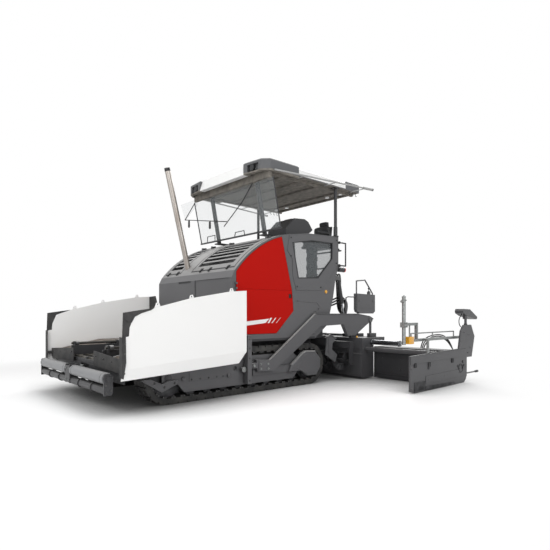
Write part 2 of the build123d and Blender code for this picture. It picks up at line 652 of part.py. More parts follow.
# ---------------------------------------------------------------- push rollers
def build_push_beam():
    tube = rod_x(55, (-1345, 1345), PUSH_ROLLER_Y, 330)
    end_plate = side_plate([(PUSH_ROLLER_Y - 55, 270), (PUSH_ROLLER_Y + 40, 270),
                            (PUSH_ROLLER_Y + 60, 300), (PUSH_ROLLER_Y + 60, 520),
                            (PUSH_ROLLER_Y + 30, 545), (PUSH_ROLLER_Y - 40, 545),
                            (PUSH_ROLLER_Y - 55, 525)], (1345, 1375))
    side = end_plate + rod_x(20, (1330, 1345), PUSH_ROLLER_Y, PUSH_ROLLER_Z)
    side += rod_x(34, (1375, 1387), PUSH_ROLLER_Y, PUSH_ROLLER_Z)
    for x in (420, 900):
        side += rod_x(66, (x, x + 22), PUSH_ROLLER_Y, 330)
    cheek = block((70, 98), (PUSH_ROLLER_Y - 60, PUSH_ROLLER_Y + 60), (290, 560))
    boss = rod_x(20, (98, 112), PUSH_ROLLER_Y, PUSH_ROLLER_Z)
    yoke = block((-98, 98), (PUSH_ROLLER_Y + 50, PUSH_PIVOT_Y + 60), (475, 500))
    yoke += block((-98, 98), (PUSH_ROLLER_Y + 50, PUSH_PIVOT_Y + 60), (400, 425))
    yoke -= rod_z(26 + RUNNING_GAP, (380, 520), 0, PUSH_PIVOT_Y)
    nose_plate = block((-98, 98), (PUSH_ROLLER_Y - 60, PUSH_ROLLER_Y - 40), (300, 540))
    beam = fuse([tube, both_sides(fuse([side, cheek, boss])), yoke, nose_plate])
    add("push_beam", beam)
    for side_name, sign in SIDES:
        roller = rod_x(PUSH_ROLLER_RADIUS, (PUSH_ROLLER_INNER_X, PUSH_ROLLER_OUTER_X),
                       PUSH_ROLLER_Y, PUSH_ROLLER_Z)
        roller = chamfer(roller.edges().filter_by(GeomType.CIRCLE), 10)
        for x in (PUSH_ROLLER_INNER_X + 70, PUSH_ROLLER_OUTER_X - 70):
            ring = rod_x(PUSH_ROLLER_RADIUS + 5, (x - 6, x + 6), PUSH_ROLLER_Y, PUSH_ROLLER_Z)
            roller -= ring - rod_x(PUSH_ROLLER_RADIUS - 5, (x - 7, x + 7), PUSH_ROLLER_Y, PUSH_ROLLER_Z)
        roller -= rod_x(20 + RUNNING_GAP, (0, 2000), PUSH_ROLLER_Y, PUSH_ROLLER_Z)
        add(f"push_roller_{side_name}", on_side(roller, sign))


# ---------------------------------------------------------------- operator's place
def seat_on_left():
    """Operator's seat: sprung base, cushion, back with head rest, and arm rests."""
    cushion = block((580, 1000), (880, 1330), (2640, 2740))
    cushion = fillet(cushion.edges().filter_by(Axis.Z), 45)
    back = side_plate([(1290, 2740), (1370, 2740), (1410, 3020), (1400, 3060), (1330, 3060)], (590, 990))
    head = side_plate([(1340, 3060), (1395, 3060), (1400, 3170), (1352, 3170)], (680, 900))
    pan = block((540, 1040), (900, 1370), (2600, 2640))
    base = block((680, 900), (940, 1060), (DECK_Z, 2600))
    arms = []
    for x in (540, 995):
        rest = side_plate([(900, 2890), (1290, 2870), (1290, 2915), (920, 2925)], (x, x + 45))
        arms.append(rest + block((x, x + 45), (1240, 1350), (2600, 2890)))
    return fuse([cushion, back, head, pan, base] + arms)


def build_canopy():
    front_y, rear_y = ROOF_SPAN_Y
    shell = block((-ROOF_HALF_X, ROOF_HALF_X), ROOF_SPAN_Y, (ROOF_BOTTOM_Z, ROOF_TOP_Z))
    shell = chamfer(shell.faces().sort_by(Axis.Z)[-1].edges(), 34, 60)
    shell -= block((ROOF_WALL - ROOF_HALF_X, ROOF_HALF_X - ROOF_WALL),
                   (front_y + ROOF_WALL, rear_y - ROOF_WALL), (ROOF_BOTTOM_Z - 1, ROOF_TOP_Z - 40))
    fascia = side_plate([(front_y - 110, ROOF_BOTTOM_Z - FASCIA_DROP), (front_y, ROOF_BOTTOM_Z - FASCIA_DROP),
                         (front_y, ROOF_BOTTOM_Z), (front_y + 170, ROOF_BOTTOM_Z + 90),
                         (front_y + 170, ROOF_TOP_Z + 4), (front_y - 40, ROOF_TOP_Z + 20)],
                        (-FASCIA_HALF_X, FASCIA_HALF_X))
    fascia -= block((-FASCIA_HALF_X, FASCIA_HALF_X), (front_y + ROOF_WALL, front_y + 300),
                    (ROOF_BOTTOM_Z - 1, ROOF_TOP_Z - 40))
    # corner housings: front ones hold the work lamps, rear ones close the roof's side rails
    front_plan = [(FASCIA_HALF_X, front_y - 105), (1120, front_y - 60), (ROOF_HALF_X, front_y + 60),
                  (ROOF_HALF_X, 190), (1130, 190), (960, -200), (FASCIA_HALF_X, -300)]
    front_box = plan_plate(front_plan, (ROOF_BOTTOM_Z - FASCIA_DROP, ROOF_TOP_Z + 20))
    front_box = chamfer(front_box.faces().sort_by(Axis.Z)[-1].edges(), 24)
    hollow = plan_plate([(FASCIA_HALF_X + 30, front_y - 10), (1110, front_y), (1200, front_y + 70),
                         (1200, 150), (FASCIA_HALF_X + 30, -330)], (ROOF_BOTTOM_Z - 60, ROOF_TOP_Z - 40))
    front_box -= hollow
    front_box -= block((790, 1060), (front_y - 200, front_y - 9), (ROOF_BOTTOM_Z - 25, ROOF_TOP_Z - 40))
    front_box += block((790, 1060), (front_y - 30, front_y - 9), (ROOF_BOTTOM_Z - 25, ROOF_TOP_Z - 40))
    rear_plan = [(1090, 1600), (ROOF_HALF_X, 1500), (ROOF_HALF_X, rear_y), (1090, rear_y)]
    rear_box = plan_plate(rear_plan, (ROOF_BOTTOM_Z, ROOF_TOP_Z + 14))
    rear_box = chamfer(rear_box.faces().sort_by(Axis.Z)[-1].edges(), 18)
    rear_box -= block((1000, ROOF_HALF_X - ROOF_WALL), (1400, rear_y - ROOF_WALL),
                      (ROOF_BOTTOM_Z - 1, ROOF_TOP_Z - 40))
    room_z = (ROOF_BOTTOM_Z - 100, ROOF_TOP_Z + 100)
    tip_room = block((1120, ROOF_HALF_X + 1), (front_y - 120, front_y + 62), room_z)
    corner_room = plan_plate(front_plan, room_z) + plan_plate(rear_plan, room_z) + tip_room
    roof = (shell + fascia) - both_sides(corner_room)
    add("roof", roof)

    ceiling = block((-ROOF_HALF_X, ROOF_HALF_X), (front_y + 60, rear_y), (CEILING_Z, ROOF_BOTTOM_Z))
    ceiling += block((-1180, 1180), (front_y, front_y + 60), (CEILING_Z, ROOF_BOTTOM_Z))
    visor = block((50 - ROOF_HALF_X, ROOF_HALF_X - 50), (-480, -420), (VISOR_Z, CEILING_Z))
    bows = [block((-1100, 1100), (y, y + 50), (CEILING_Z - 30, CEILING_Z))
            for y in (-60, 400, 860, 1500, 1800)]
    rails = both_sides(block((1050, 1100), (-400, 1900), (CEILING_Z - 42, CEILING_Z)))
    add("roof_frame", fuse([ceiling, visor, rails, both_sides(front_box + rear_box)] + bows))

    lamp_z = (ROOF_BOTTOM_Z + ROOF_TOP_Z) / 2 - 28
    lamps = [rod_y(46, (front_y - 75, front_y - 30), 900, lamp_z)]
    lamps += [rod_z(44, (CEILING_Z - 24, CEILING_Z), x, 1650) for x in (620, 980)]
    lamps.append(rod_y(40, (1470, 1500), 1200, 2172))
    add("work_lamps", both_sides(fuse(lamps)))

    front, rear = (ROOF_HALF_X + 24, -420, CEILING_Z - 12), (1600, 1890, CEILING_Z - 6)
    rod = bar(front, rear, 15)
    sleeve = bar((1563, 1640, CEILING_Z - 7), rear, 24)
    arms = [block((1150, reach), (y - 9, y + 9), (CEILING_Z - 14, CEILING_Z))
            for y, reach in ((230, 1362), (960, 1468), (1700, 1576))]
    add("awnings", both_sides(fuse([rod, sleeve] + arms)))


def build_windscreen():
    foot_y, foot_z = WINDSCREEN_FOOT
    head = (WINDSCREEN_HEAD_Y, VISOR_Z)
    half = WINDSCREEN_HALF_X
    pane = side_plate([(foot_y, foot_z), (foot_y + 8, foot_z), (head[0] + 8, head[1]), head],
                      (-half, half))
    add("windscreen", pane)
    rail = block((-half - 28, half + 28), (foot_y - 12, foot_y + 13), (foot_z - 28, foot_z))
    edge = side_plate([(foot_y - 8, foot_z - 10), (foot_y + 12, foot_z - 10), (head[0] + 12, head[1]),
                       (head[0] - 8, head[1])], (half, half + 10))
    loop_y = foot_y + 23
    stub_z = foot_z - 14
    step_loop = bent_tube([(-1054, foot_y + 8, stub_z), (-1054, loop_y, stub_z), (-1054, loop_y, 2920),
                           (-779, loop_y, 2920), (-779, loop_y, stub_z), (-779, foot_y + 8, stub_z)], 9)
    handle = bent_tube([(-110, foot_y + 8, stub_z), (-110, loop_y, stub_z), (-80, loop_y, 2885),
                        (190, loop_y, 2885), (215, loop_y, stub_z), (215, foot_y + 8, stub_z)], 9)
    lug = block((POST_X - 20, POST_X + 20), (foot_y + 13, -224), (foot_z - 26, foot_z - 2))
    add("windscreen_frame", fuse([rail, step_loop, handle, both_sides(edge + lug)]))


def build_operator_place():
    add("seats", both_sides(seat_on_left()))
    dash = side_plate([(60, DASH_TOP_Z), (60, 2850), (270, 3060), (540, 3080), (640, 3040),
                       (755, 2900), (700, 2850), (560, 2780), (420, DASH_TOP_Z)], (540, 1040))
    dash -= side_plate([(320, 3090), (600, 3090), (600, 3050), (330, 3035)], (600, 980))
    foot = side_plate([(120, DECK_Z), (480, DECK_Z), (420, DASH_TOP_Z), (200, DASH_TOP_Z)], (690, 890))
    tray = block((200, 600), (60, 300), (2700, DASH_TOP_Z))
    add("console", fuse([dash + foot, tray]))

    front_post = bar((POST_X, -170, 2745), (POST_X, -385, CEILING_Z + 60), 42)
    front_post -= block((600, 800), (-700, 200), (CEILING_Z, CEILING_Z + 200))
    front_post -= block((FASCIA_HALF_X, 800), (-700, 200), (ROOF_BOTTOM_Z - FASCIA_DROP, CEILING_Z + 200))
    foot_plate = block((POST_X - 70, POST_X + 70), (-240, 60), (DASH_TOP_Z, 2748))
    sleeve = rod_z(40, (2830, 3000), 1180, 1262)
    rear_post = rod_z(31, (2830, CEILING_Z), 1180, 1262)
    rear_foot = block((1135, 1222), (1215, 1308), (2810, 2832))
    head_plate = block((1120, 1225), (1190, 1330), (CEILING_Z - 14, CEILING_Z))
    add("canopy_posts", both_sides(fuse([front_post, foot_plate, rear_post, sleeve, rear_foot, head_plate])))
    build_canopy()
    build_windscreen()

    base = (-450, -1064, 2095)
    top = (-450, -1517, 3955)
    pipe = bar(base, top, 50) - bar(base, top, 44)
    pipe -= hood_solid(0, (-600, -300))
    add("exhaust", pipe)

    loop = bent_tube([(1230, 1336, 2700), (1230, 1510, 2700), (1230, 1510, 2250),
                      (1230, 1336, 2250)], 14)
    feet = [block((BODY_OUTER_X - 30, 1240), (1320, 1340), (z - 25, z + 25)) for z in (2250, 2700)]
    cross_loop = bent_tube([(1185, 1338, 2560), (1150, 1460, 2560), (420, 1460, 2560),
                            (420, 1460, 2240), (1130, 1460, 2240), (1185, 1338, 2240)], 16)
    lamp_arm = rod_y(46, (1320, 1470), 1200, 2172)
    feet += [block((1160, 1210), (1320, 1345), (z - 25, z + 25)) for z in (2240, 2560)]
    add("rear_handrails", both_sides(fuse([loop, cross_loop, lamp_arm] + feet)))


# ---------------------------------------------------------------- tow points and screed
def build_tow_gear():
    rail = block((BODY_OUTER_X, 1295), (-1030, -945), (164, 940))
    lug = block((BODY_OUTER_X, 1218), (-1000, -830), (390, 520))
    pin = rod_x(TOW_PIN_RADIUS, (1215, 1290), TOW_PIN_Y, TOW_PIN_Z)
    roller = rod_x(34, (BODY_OUTER_X, 1262), -1078, 405)
    roller += block((BODY_OUTER_X, 1225), (-1078, -1030), (385, 425))
    cap = block((BODY_OUTER_X, 1300), (-1036, -939), (930, 952))
    add("tow_rails", both_sides(fuse([rail, lug, pin, roller, cap])))

    outline = [(-830, 543), (-530, 523), (600, 1305), (1839, 1305), (2250, 1254), (2385, 1196),
               (2107, 1055), (1764, 865), (1507, 861), (1366, 1090), (730, 1070),
               (-450, 330), (-810, 349)]
    arm = side_plate(outline, (ARM_INNER_X, ARM_OUTER_X))
    nose = rod_x(44, (ARM_INNER_X, ARM_OUTER_X), TOW_PIN_Y, TOW_PIN_Z)
    nose += block((ARM_INNER_X, ARM_OUTER_X), (TOW_PIN_Y, -815), (TOW_PIN_Z - 44, TOW_PIN_Z + 44))
    arm = arm + nose
    arm -= rod_x(TOW_PIN_RADIUS + RUNNING_GAP, (1200, 1300), TOW_PIN_Y, TOW_PIN_Z)
    pad = side_plate([(-787, 535), (-520, 516), (-470, 480), (-470, 335), (-787, 355)],
                     (ARM_OUTER_X, ARM_OUTER_X + 10))
    # welded flanges along the arm's upper and lower edges
    flanges = [side_plate([(620, 1305), (1835, 1305), (1835, 1291), (627, 1291)], (1278, 1290)),
               side_plate([(1380, 1094), (1510, 864), (1522, 872), (1392, 1102)], (1278, 1290))]
    boss = rod_x(58, (ARM_OUTER_X, 1290), 2270, 1180)
    arm = fuse([arm, pad, boss] + flanges)
    arm += rod_z(26, (SCREED_TOP_Z, 1160), 1250, 2300)
    arm += rod_z(34, (SCREED_TOP_Z, SCREED_TOP_Z + 60), 1250, 2300)
    arm += rod_x(18, (1105, 1225), 1600, 1150)
    add("tow_arms", both_sides(arm))

    box = side_plate([(1780, 1392), (1805, 1340), (1900, 1305), (2330, 1305), (2400, 1350),
                      (2400, 1700), (1780, 1712)], (ARM_INNER_X, 1300))
    rail = bent_tube([(1260, 1820, 1700), (1260, 1820, 1970), (1260, 2100, 2000),
                      (1260, 2360, 1730), (1260, 2360, 1690)], 14)
    inner_rail = bent_tube([(1250, 1790, 1640), (1250, 1560, 1640),
                            (1250, 1500, 1620), (1250, 1500, 1305)], 12)
    knob = block((1240, 1285), (2200, 2260), (1700, 1760))
    add("arm_consoles", both_sides(fuse([box, rail, inner_rail, knob])))


def build_extension(side):
    """One extension with its slide beam, end gate, sensor mast and gate console."""
    reach = (EXTENSION_INNER_X, GATE_INNER_X)
    wall = block(reach, (2100, 2140), (20, 640))
    ledges = [block(reach, (2086, 2100), (z, z + 18)) for z in (96, 520)]
    sole = block(reach, (2140, 2480), (20, 60))
    top = block(reach, (2140, 2440), (560, 640))
    back = block(reach, (2400, 2440), (60, 560))
    step = block(reach, (2440, 2860), (300, 330))
    kick = block(reach, (2848, 2860), (330, 370))
    ribs = [block((x, x + 14), (2140, 2400), (60, 560)) for x in (1560, 2240, 2920)]
    brackets = [side_plate([(2440, 180), (2440, 300), (2820, 300), (2820, 280)], (x, x + 14))
                for x in (1620, 2240, 2860)]
    # wiper strip that closes the gap to the main screed's rear face
    seal = block((EXTENSION_INNER_X - 15, EXTENSION_INNER_X), (2075, 2140), (20, 640))
    parts = [wall, sole, top, back, step, kick, seal] + ledges + ribs + brackets
    add(f"extension_{side}", on_side(fuse(parts), dict(SIDES)[side]))

    gate_x = (GATE_INNER_X, GATE_INNER_X + GATE_THICKNESS)
    outer_x = gate_x[1]
    plate = side_plate([(932, 30), (1046, 8), (2800, 8), (2870, 60), (2916, 130), (2916, 500), (2700, 655),
                        (932, 611)], gate_x)
    pillar = side_plate([(2560, 480), (3122, 473), (3243, 866), (3178, 965), (3100, 1090),
                         (2800, 1090), (2679, 978)], gate_x)
    upper_bar = side_plate([(937, 474), (937, 606), (2871, 640), (2871, 508)], (outer_x, outer_x + 9))
    lower_bar = side_plate([(1407, 120), (1407, 250), (2871, 276), (2871, 146)], (outer_x, outer_x + 6))
    shoe = side_plate([(1046, 8), (1046, 178), (1388, 178), (1388, 8)], (outer_x, outer_x + 6))
    pins = [rod_x(26, (outer_x, outer_x + 9), y, z)
            for y, z in ((1500, 380), (2560, 330), (2750, 400), (2790, 330))]
    tube = rod_x(SLIDE_TUBE_RADIUS, (SCREED_HALF_X - 100, GATE_INNER_X), SLIDE_TUBE_Y[side], SLIDE_TUBE_Z)
    crank = rod_y(14, (2916, HALF_LENGTH - 50), GATE_INNER_X + 15, 169)
    crank += rod_y(24, (HALF_LENGTH - 50, HALF_LENGTH), GATE_INNER_X + 15, 169)
    screw = rod_z(16, (335, 600), GATE_INNER_X - 30, 2740) + block((2955, 3000), (2715, 2765), (345, 380))
    screw += block((2955, 3000), (2715, 2765), (500, 540))
    parts = [plate, pillar, upper_bar, lower_bar, shoe, tube, crank, screw] + pins
    add(f"end_gate_{side}", on_side(fuse(parts), dict(SIDES)[side]))

    mast_x = GATE_INNER_X - 100
    beam = block((mast_x - 15, mast_x + 35), (1139, 2900), (832, 880))
    seat = block((mast_x + 35, GATE_INNER_X), (2640, 2720), (840, 872))
    foot = block((mast_x + 35, GATE_INNER_X + 15), (1500, 1550), (840, 872))
    foot += block((GATE_INNER_X - 10, GATE_INNER_X + 15), (1500, 1550), (627, 872))
    top_rail = bent_tube([(mast_x + 10, 1152, 870), (mast_x + 10, 1152, 972), (mast_x + 10, 2625, 972),
                          (mast_x + 10, 2625, 870)], 11)
    post = rod_z(11, (870, 972), mast_x + 10, 1850)
    drop = block((mast_x - 20, mast_x + 25), (1304, 1346), (832, 1150))
    link = block((mast_x - 15, mast_x + 20), (950, 1346), (1104, 1150))
    clamp = block((mast_x - 42, mast_x + 42), (905, 995), (1075, 1160))
    mast = rod_z(30, (789, 1570), mast_x, 950) + rod_x(10, (mast_x - 48, mast_x + 48), 950, 1520)
    sensor = block((mast_x - 48, mast_x + 48), (1050, 1190), (800, 920))
    sensor = fillet(sensor.edges().filter_by(Axis.Z), 18)
    neck = rod_z(12, (915, 1110), mast_x, 1120)
    parts = [beam, seat, foot, top_rail, post, drop, link, clamp, mast, sensor, neck]
    add(f"sensor_mast_{side}", on_side(fuse(parts), dict(SIDES)[side]))

    post = rod_z(24, (1090, 1220), GATE_INNER_X + 12, 2900) + rod_z(32, (1090, 1112), GATE_INNER_X + 12, 2900)
    head = side_plate([(2745, 1352), (2775, 1392), (3030, 1385), (3345, 1238), (3325, 1196), (3280, 1192),
                       (2900, 1262), (2760, 1310)], (GATE_INNER_X - 125, GATE_INNER_X + 40))
    head -= side_plate([(2800, 1410), (2990, 1404), (2990, 1374), (2810, 1380)],
                       (GATE_INNER_X - 105, GATE_INNER_X + 20))
    head += block((GATE_INNER_X - 25, GATE_INNER_X + 30), (2862, 2938), (1200, 1290))
    add(f"gate_console_{side}", on_side(fuse([post, head]), dict(SIDES)[side]))


def build_screed():
    profile = [(SCREED_FRONT_Y, SCREED_BOTTOM_Z + 30), (SCREED_FRONT_Y, 500), (1700, 520),
               (1700, SCREED_TOP_Z), (2450, SCREED_TOP_Z), (2450, 700), (2070, 700),
               (2070, SCREED_BOTTOM_Z), (1715, SCREED_BOTTOM_Z)]
    main = side_plate(profile, (-SCREED_HALF_X, SCREED_HALF_X))
    main -= block((50 - SCREED_HALF_X, SCREED_HALF_X - 50), (1740, 2030), (80, 660))
    ledge = block((-SCREED_HALF_X, SCREED_HALF_X), (1672, SCREED_FRONT_Y), (484, 500))
    side = [block((1160, ARM_INNER_X), (1700, 1800), (SCREED_TOP_Z, 1000))]
    side.append(side_plate([(1700, 1000), (1800, 1000), (1900, SCREED_TOP_Z), (1700, SCREED_TOP_Z)],
                           (1180, 1205)))
    side.append(block((1300, 1380), (2120, 2330), (SCREED_TOP_Z, 900)))
    side.append(block((780, 1080), (1960, 2300), (SCREED_TOP_Z, 880)))
    side.append(block((SCREED_HALF_X - 260, SCREED_HALF_X), (1676, SCREED_FRONT_Y), (90, 500)))
    side.append(block((60, 700), (2200, 2420), (SCREED_TOP_Z, 850)))
    main = fuse([main, ledge, both_sides(fuse(side))])
    for side_name, sign in SIDES:
        wide = (-SCREED_HALF_X - 10, SCREED_HALF_X + 10)
        main -= rod_x(SLIDE_TUBE_RADIUS + RUNNING_GAP, wide, SLIDE_TUBE_Y[side_name], SLIDE_TUBE_Z)
    add("screed", main)
    tube_end = SCREED_HALF_X + 620
    tube = rod_x(48, (SCREED_HALF_X, tube_end), 2006, 728)
    tube += rod_x(58, (tube_end, tube_end + 34), 2006, 728)
    tube += rod_x(56, (SCREED_HALF_X, SCREED_HALF_X + 26), 2006, 728)
    tube += rod_x(18, (tube_end + 34, tube_end + 50), 2006, 728)
    add("guide_tubes", both_sides(tube))
    for side_name, sign in SIDES:
        build_extension(side_name)


def auger_flight(start_x, turns):
    """Helical plate round the shaft, built from flat facets between radial sections."""
    inner = AUGER_SHAFT_RADIUS - 6
    half = FLIGHT_THICKNESS / 2
    sections = []
    for step in range(round(turns * FLIGHT_STEPS) + 1):
        turn = math.tau * step / FLIGHT_STEPS
        x = start_x + AUGER_PITCH * step / FLIGHT_STEPS
        across = Vector(0, math.cos(turn), math.sin(turn))
        middle = Vector(x, AUGER_Y, AUGER_Z)
        sections.append([middle + across * reach + Vector(side * half, 0, 0)
                         for reach, side in ((inner, -1), (AUGER_RADIUS, -1), (AUGER_RADIUS, 1), (inner, 1))])
    facets = [sections[0], sections[-1]]
    for first, second in zip(sections, sections[1:]):
        for corner in range(4):
            following = (corner + 1) % 4
            quad = (first[corner], first[following], second[following], second[corner])
            if corner % 2:
                facets.append(quad)
            else:
                facets += [(quad[0], quad[1], quad[2]), (quad[0], quad[2], quad[3])]
    faces = [Face(Wire.make_polygon(facet, close=True)) for facet in facets]
    return Solid(Shell(faces))


def build_augers():
    case = block((-60, 60), (AUGER_Y - 90, AUGER_Y + 90), (240, 760))
    case = fillet(case.edges().filter_by(Axis.X), 30)
    end = AUGER_END_X
    beam = block((-end, end), (AUGER_Y - 50, AUGER_Y + 50), (640, 760))
    legs = block((640, 700), (1060, AUGER_Y - 50), (700, 760))
    hanger = block((end, end + 30), (AUGER_Y - 50, AUGER_Y + 50), (320, 760))
    stub = rod_x(20, (60, 90), AUGER_Y, AUGER_Z)
    stub_out = rod_x(20, (end - 30, end), AUGER_Y, AUGER_Z)
    carrier = fuse([case, beam, both_sides(fuse([legs, hanger, stub, stub_out]))])
    add("auger_carrier", carrier)
    deflector = side_plate([(941, 867), (1028, 910), (1207, 827), (1099, 732), (1081, 616),
                            (1236, 507), (1172, 363), (899, 522)], (1225, 1250))
    deflector -= block((1200, 1240), (960, 1060), (700, 840))
    deflector += block((1200, 1225), (1062, 1100), (640, 830))
    deflector += side_plate([(941, 867), (1028, 910), (1207, 827), (1190, 810), (1020, 890), (950, 852)],
                            (1250, 1262))
    deflector += block((1241, 1262), (962, 985), (560, 840))
    add("spill_guards", both_sides(deflector))
    turns = (end - 10 - FLIGHT_CLEARANCE * 2 - 70) / AUGER_PITCH
    for side, sign in SIDES:
        shaft = rod_x(AUGER_SHAFT_RADIUS, (70, end - 10), AUGER_Y, AUGER_Z)
        screw = shaft + auger_flight(70 + FLIGHT_CLEARANCE, turns)
        screw -= rod_x(20 + RUNNING_GAP, (0, SCREED_HALF_X), AUGER_Y, AUGER_Z)
        add(f"auger_{side}", on_side(screw, sign))


LIFT_TOP = Vector(1400, 2000)
LIFT_LOW = Vector(1600, 1150)


def build_lift_cylinders():
    direction = (LIFT_LOW - LIFT_TOP).normalized()

    def along(distance):
        point = LIFT_TOP + direction * distance
        return (1130, point.X, point.Y)

    length = (LIFT_LOW - LIFT_TOP).length
    barrel = bar(along(75), along(510), 40) - bar(along(95), along(560), 34)
    eye = rod_x(34, (1105, 1155), LIFT_TOP.X, LIFT_TOP.Y) + bar(along(20), along(80), 24)
    barrel = fuse([barrel, eye]) - rod_x(18 + RUNNING_GAP, (1000, 1200), LIFT_TOP.X, LIFT_TOP.Y)
    piston = bar(along(440), along(478), 33.7)
    rod = bar(along(440), along(length - 40), 20)
    rod_eye = rod_x(46, (1110, 1150), LIFT_LOW.X, LIFT_LOW.Y)
    rod_eye -= rod_x(30, (1000, 1200), LIFT_LOW.X, LIFT_LOW.Y)
    for side, sign in SIDES:
        add(f"lift_barrel_{side}", on_side(barrel, sign))
        add(f"lift_rod_{side}", on_side(fuse([piston, rod, rod_eye]), sign))


build_tracks()
build_frame()
build_body()
build_wings()
build_push_beam()
build_operator_place()
build_tow_gear()
build_screed()
build_augers()
build_lift_cylinders()

os.makedirs("parts", exist_ok=True)
for node_name, node_shape in NODES.items():
    export_step(node_shape, f"parts/{node_name}.step")
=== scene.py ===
"""Dresses the tracked asphalt paver: finishes, small fittings, floor, lamps and camera.

Every length is in metres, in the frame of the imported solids: X to the machine's left,
Y to the rear, Z up, with the origin on the ground under the middle of the machine.
"""

import logging
import math
from collections.abc import Iterator, Sequence
from dataclasses import dataclass
from enum import Enum
from typing import ClassVar

import bmesh
import bpy
from mathutils import Matrix, Vector


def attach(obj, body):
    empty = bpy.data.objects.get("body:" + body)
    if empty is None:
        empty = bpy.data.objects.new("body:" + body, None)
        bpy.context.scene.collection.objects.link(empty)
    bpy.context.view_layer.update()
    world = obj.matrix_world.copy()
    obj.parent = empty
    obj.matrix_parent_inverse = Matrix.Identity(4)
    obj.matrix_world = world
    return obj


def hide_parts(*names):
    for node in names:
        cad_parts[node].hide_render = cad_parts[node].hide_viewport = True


logging.basicConfig(level=logging.INFO, format="%(message)s")
LOG = logging.getLogger("paver")

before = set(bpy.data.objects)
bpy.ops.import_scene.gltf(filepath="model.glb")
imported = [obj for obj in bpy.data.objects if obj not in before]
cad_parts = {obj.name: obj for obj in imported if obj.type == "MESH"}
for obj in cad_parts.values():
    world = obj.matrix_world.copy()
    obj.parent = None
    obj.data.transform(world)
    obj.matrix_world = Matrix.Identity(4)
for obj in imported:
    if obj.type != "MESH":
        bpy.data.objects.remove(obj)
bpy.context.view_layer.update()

Point = tuple[float, float, float]
Flat = tuple[float, float]
Outline = Sequence[Flat]
Tree = bpy.types.NodeTree
Socket = bpy.types.NodeSocket
Piece = bpy.types.Object

MM = 0.001
WHITE = (1.0, 1.0, 1.0, 1.0)
EDGE_SAMPLES = 3
OUT: Point = (1.0, 0.0, 0.0)
REAR: Point = (0.0, 1.0, 0.0)
FRONT: Point = (0.0, -1.0, 0.0)
UP: Point = (0.0, 0.0, 1.0)
WHOLE_BODIES = ("chassis", "screed", "push_beam")


class Side(Enum):
    """The two sides of the machine, with the sign of X."""

    LEFT = 1
    RIGHT = -1

    @property
    def tag(self) -> str:
        """Word that the side's nodes, bodies and pieces end with."""
        return self.name.lower()


# ---------------------------------------------------------------- shading helpers
def linear(hex_colour: str) -> tuple[float, float, float, float]:
    """Turns an sRGB hex colour into a linear RGBA value.

    Args:
        hex_colour: Six hex digits, with or without a leading hash.

    Returns:
        Linear red, green, blue and an alpha of one.
    """
    digits = hex_colour.lstrip("#")
    channels = [int(digits[at:at + 2], 16) / 255 for at in (0, 2, 4)]
    red, green, blue = (c / 12.92 if c <= 0.04045 else ((c + 0.055) / 1.055) ** 2.4
                        for c in channels)
    return red, green, blue, 1.0


def cycles_per_metre(size_mm: float) -> float:
    """Scale of a pattern that repeats once in a real size in millimetres."""
    return 1.0 / (size_mm * MM)


def add_node(tree: Tree, kind: str, inputs: dict | None = None,
             **settings: object) -> bpy.types.Node:
    """Adds one node with its settings, constants and links.

    Args:
        tree: Node tree that gets the node.
        kind: Blender's identifier of the node.
        inputs: Socket name or number to a constant, or to an output socket to link.
        settings: Attributes of the node.

    Returns:
        The new node.
    """
    made = tree.nodes.new(kind)
    for name, value in settings.items():
        setattr(made, name, value)
    for socket, value in (inputs or {}).items():
        if isinstance(value, bpy.types.NodeSocket):
            tree.links.new(value, made.inputs[socket])
        else:
            made.inputs[socket].default_value = value
    return made


def ramp(tree: Tree, factor: Socket, stops: Sequence[tuple[float, str]]) -> Socket:
    """Colour ramp.

    Args:
        tree: Node tree.
        factor: Output that picks the colour.
        stops: Positions, each with an sRGB hex colour.

    Returns:
        The colour's output.
    """
    made = add_node(tree, "ShaderNodeValToRGB", {"Fac": factor})
    for element, (position, colour) in zip(made.color_ramp.elements, stops):
        element.position = position
        element.color = linear(colour)
    return made.outputs["Color"]


def noise(tree: Tree, place: Socket, size_mm: float, detail: float,
          roughness: float = 0.5) -> Socket:
    """Noise of a real size, between zero and one.

    Args:
        tree: Node tree.
        place: Coordinates in metres.
        size_mm: Size of its patches in millimetres.
        detail: Octaves that are added.
        roughness: Share of the finer octaves.

    Returns:
        The noise's output.
    """
    return add_node(tree, "ShaderNodeTexNoise",
                    {"Vector": place, "Scale": cycles_per_metre(size_mm), "Detail": detail,
                     "Roughness": roughness}).outputs["Fac"]


def spread(tree: Tree, value: Socket, source: Flat, target: Flat, curve: str = "LINEAR") -> Socket:
    """A value's range laid onto another and held at its ends.

    Args:
        tree: Node tree.
        value: Output to read.
        source: Low and high end that are read.
        target: What they become.
        curve: Blender's name of the curve between them.

    Returns:
        The new value's output.
    """
    return add_node(tree, "ShaderNodeMapRange",
                    {"Value": value, "From Min": source[0], "From Max": source[1],
                     "To Min": target[0], "To Max": target[1]},
                    interpolation_type=curve).outputs["Result"]


def maths(tree: Tree, operation: str, first: Socket, second: Socket | float = 0.0) -> Socket:
    """One sum of one or two values."""
    return add_node(tree, "ShaderNodeMath", {0: first, 1: second},
                    operation=operation).outputs["Value"]


def mixed(tree: Tree, share: Socket, first: object, second: object) -> Socket:
    """Two colours mixed, with the second one's share."""
    return add_node(tree, "ShaderNodeMix", {0: share, 6: first, 7: second},
                    data_type="RGBA").outputs[2]


def either(tree: Tree, share: Socket, first: Socket, second: Socket) -> Socket:
    """Two shaders mixed, with the second one's share."""
    return add_node(tree, "ShaderNodeMixShader", {0: share, 1: first, 2: second}).outputs["Shader"]


def rounded(tree: Tree, radius: float) -> Socket:
    """Normal that rounds the edges to the eye by a radius in metres."""
    return add_node(tree, "ShaderNodeBevel", {"Radius": radius},
                    samples=EDGE_SAMPLES).outputs["Normal"]


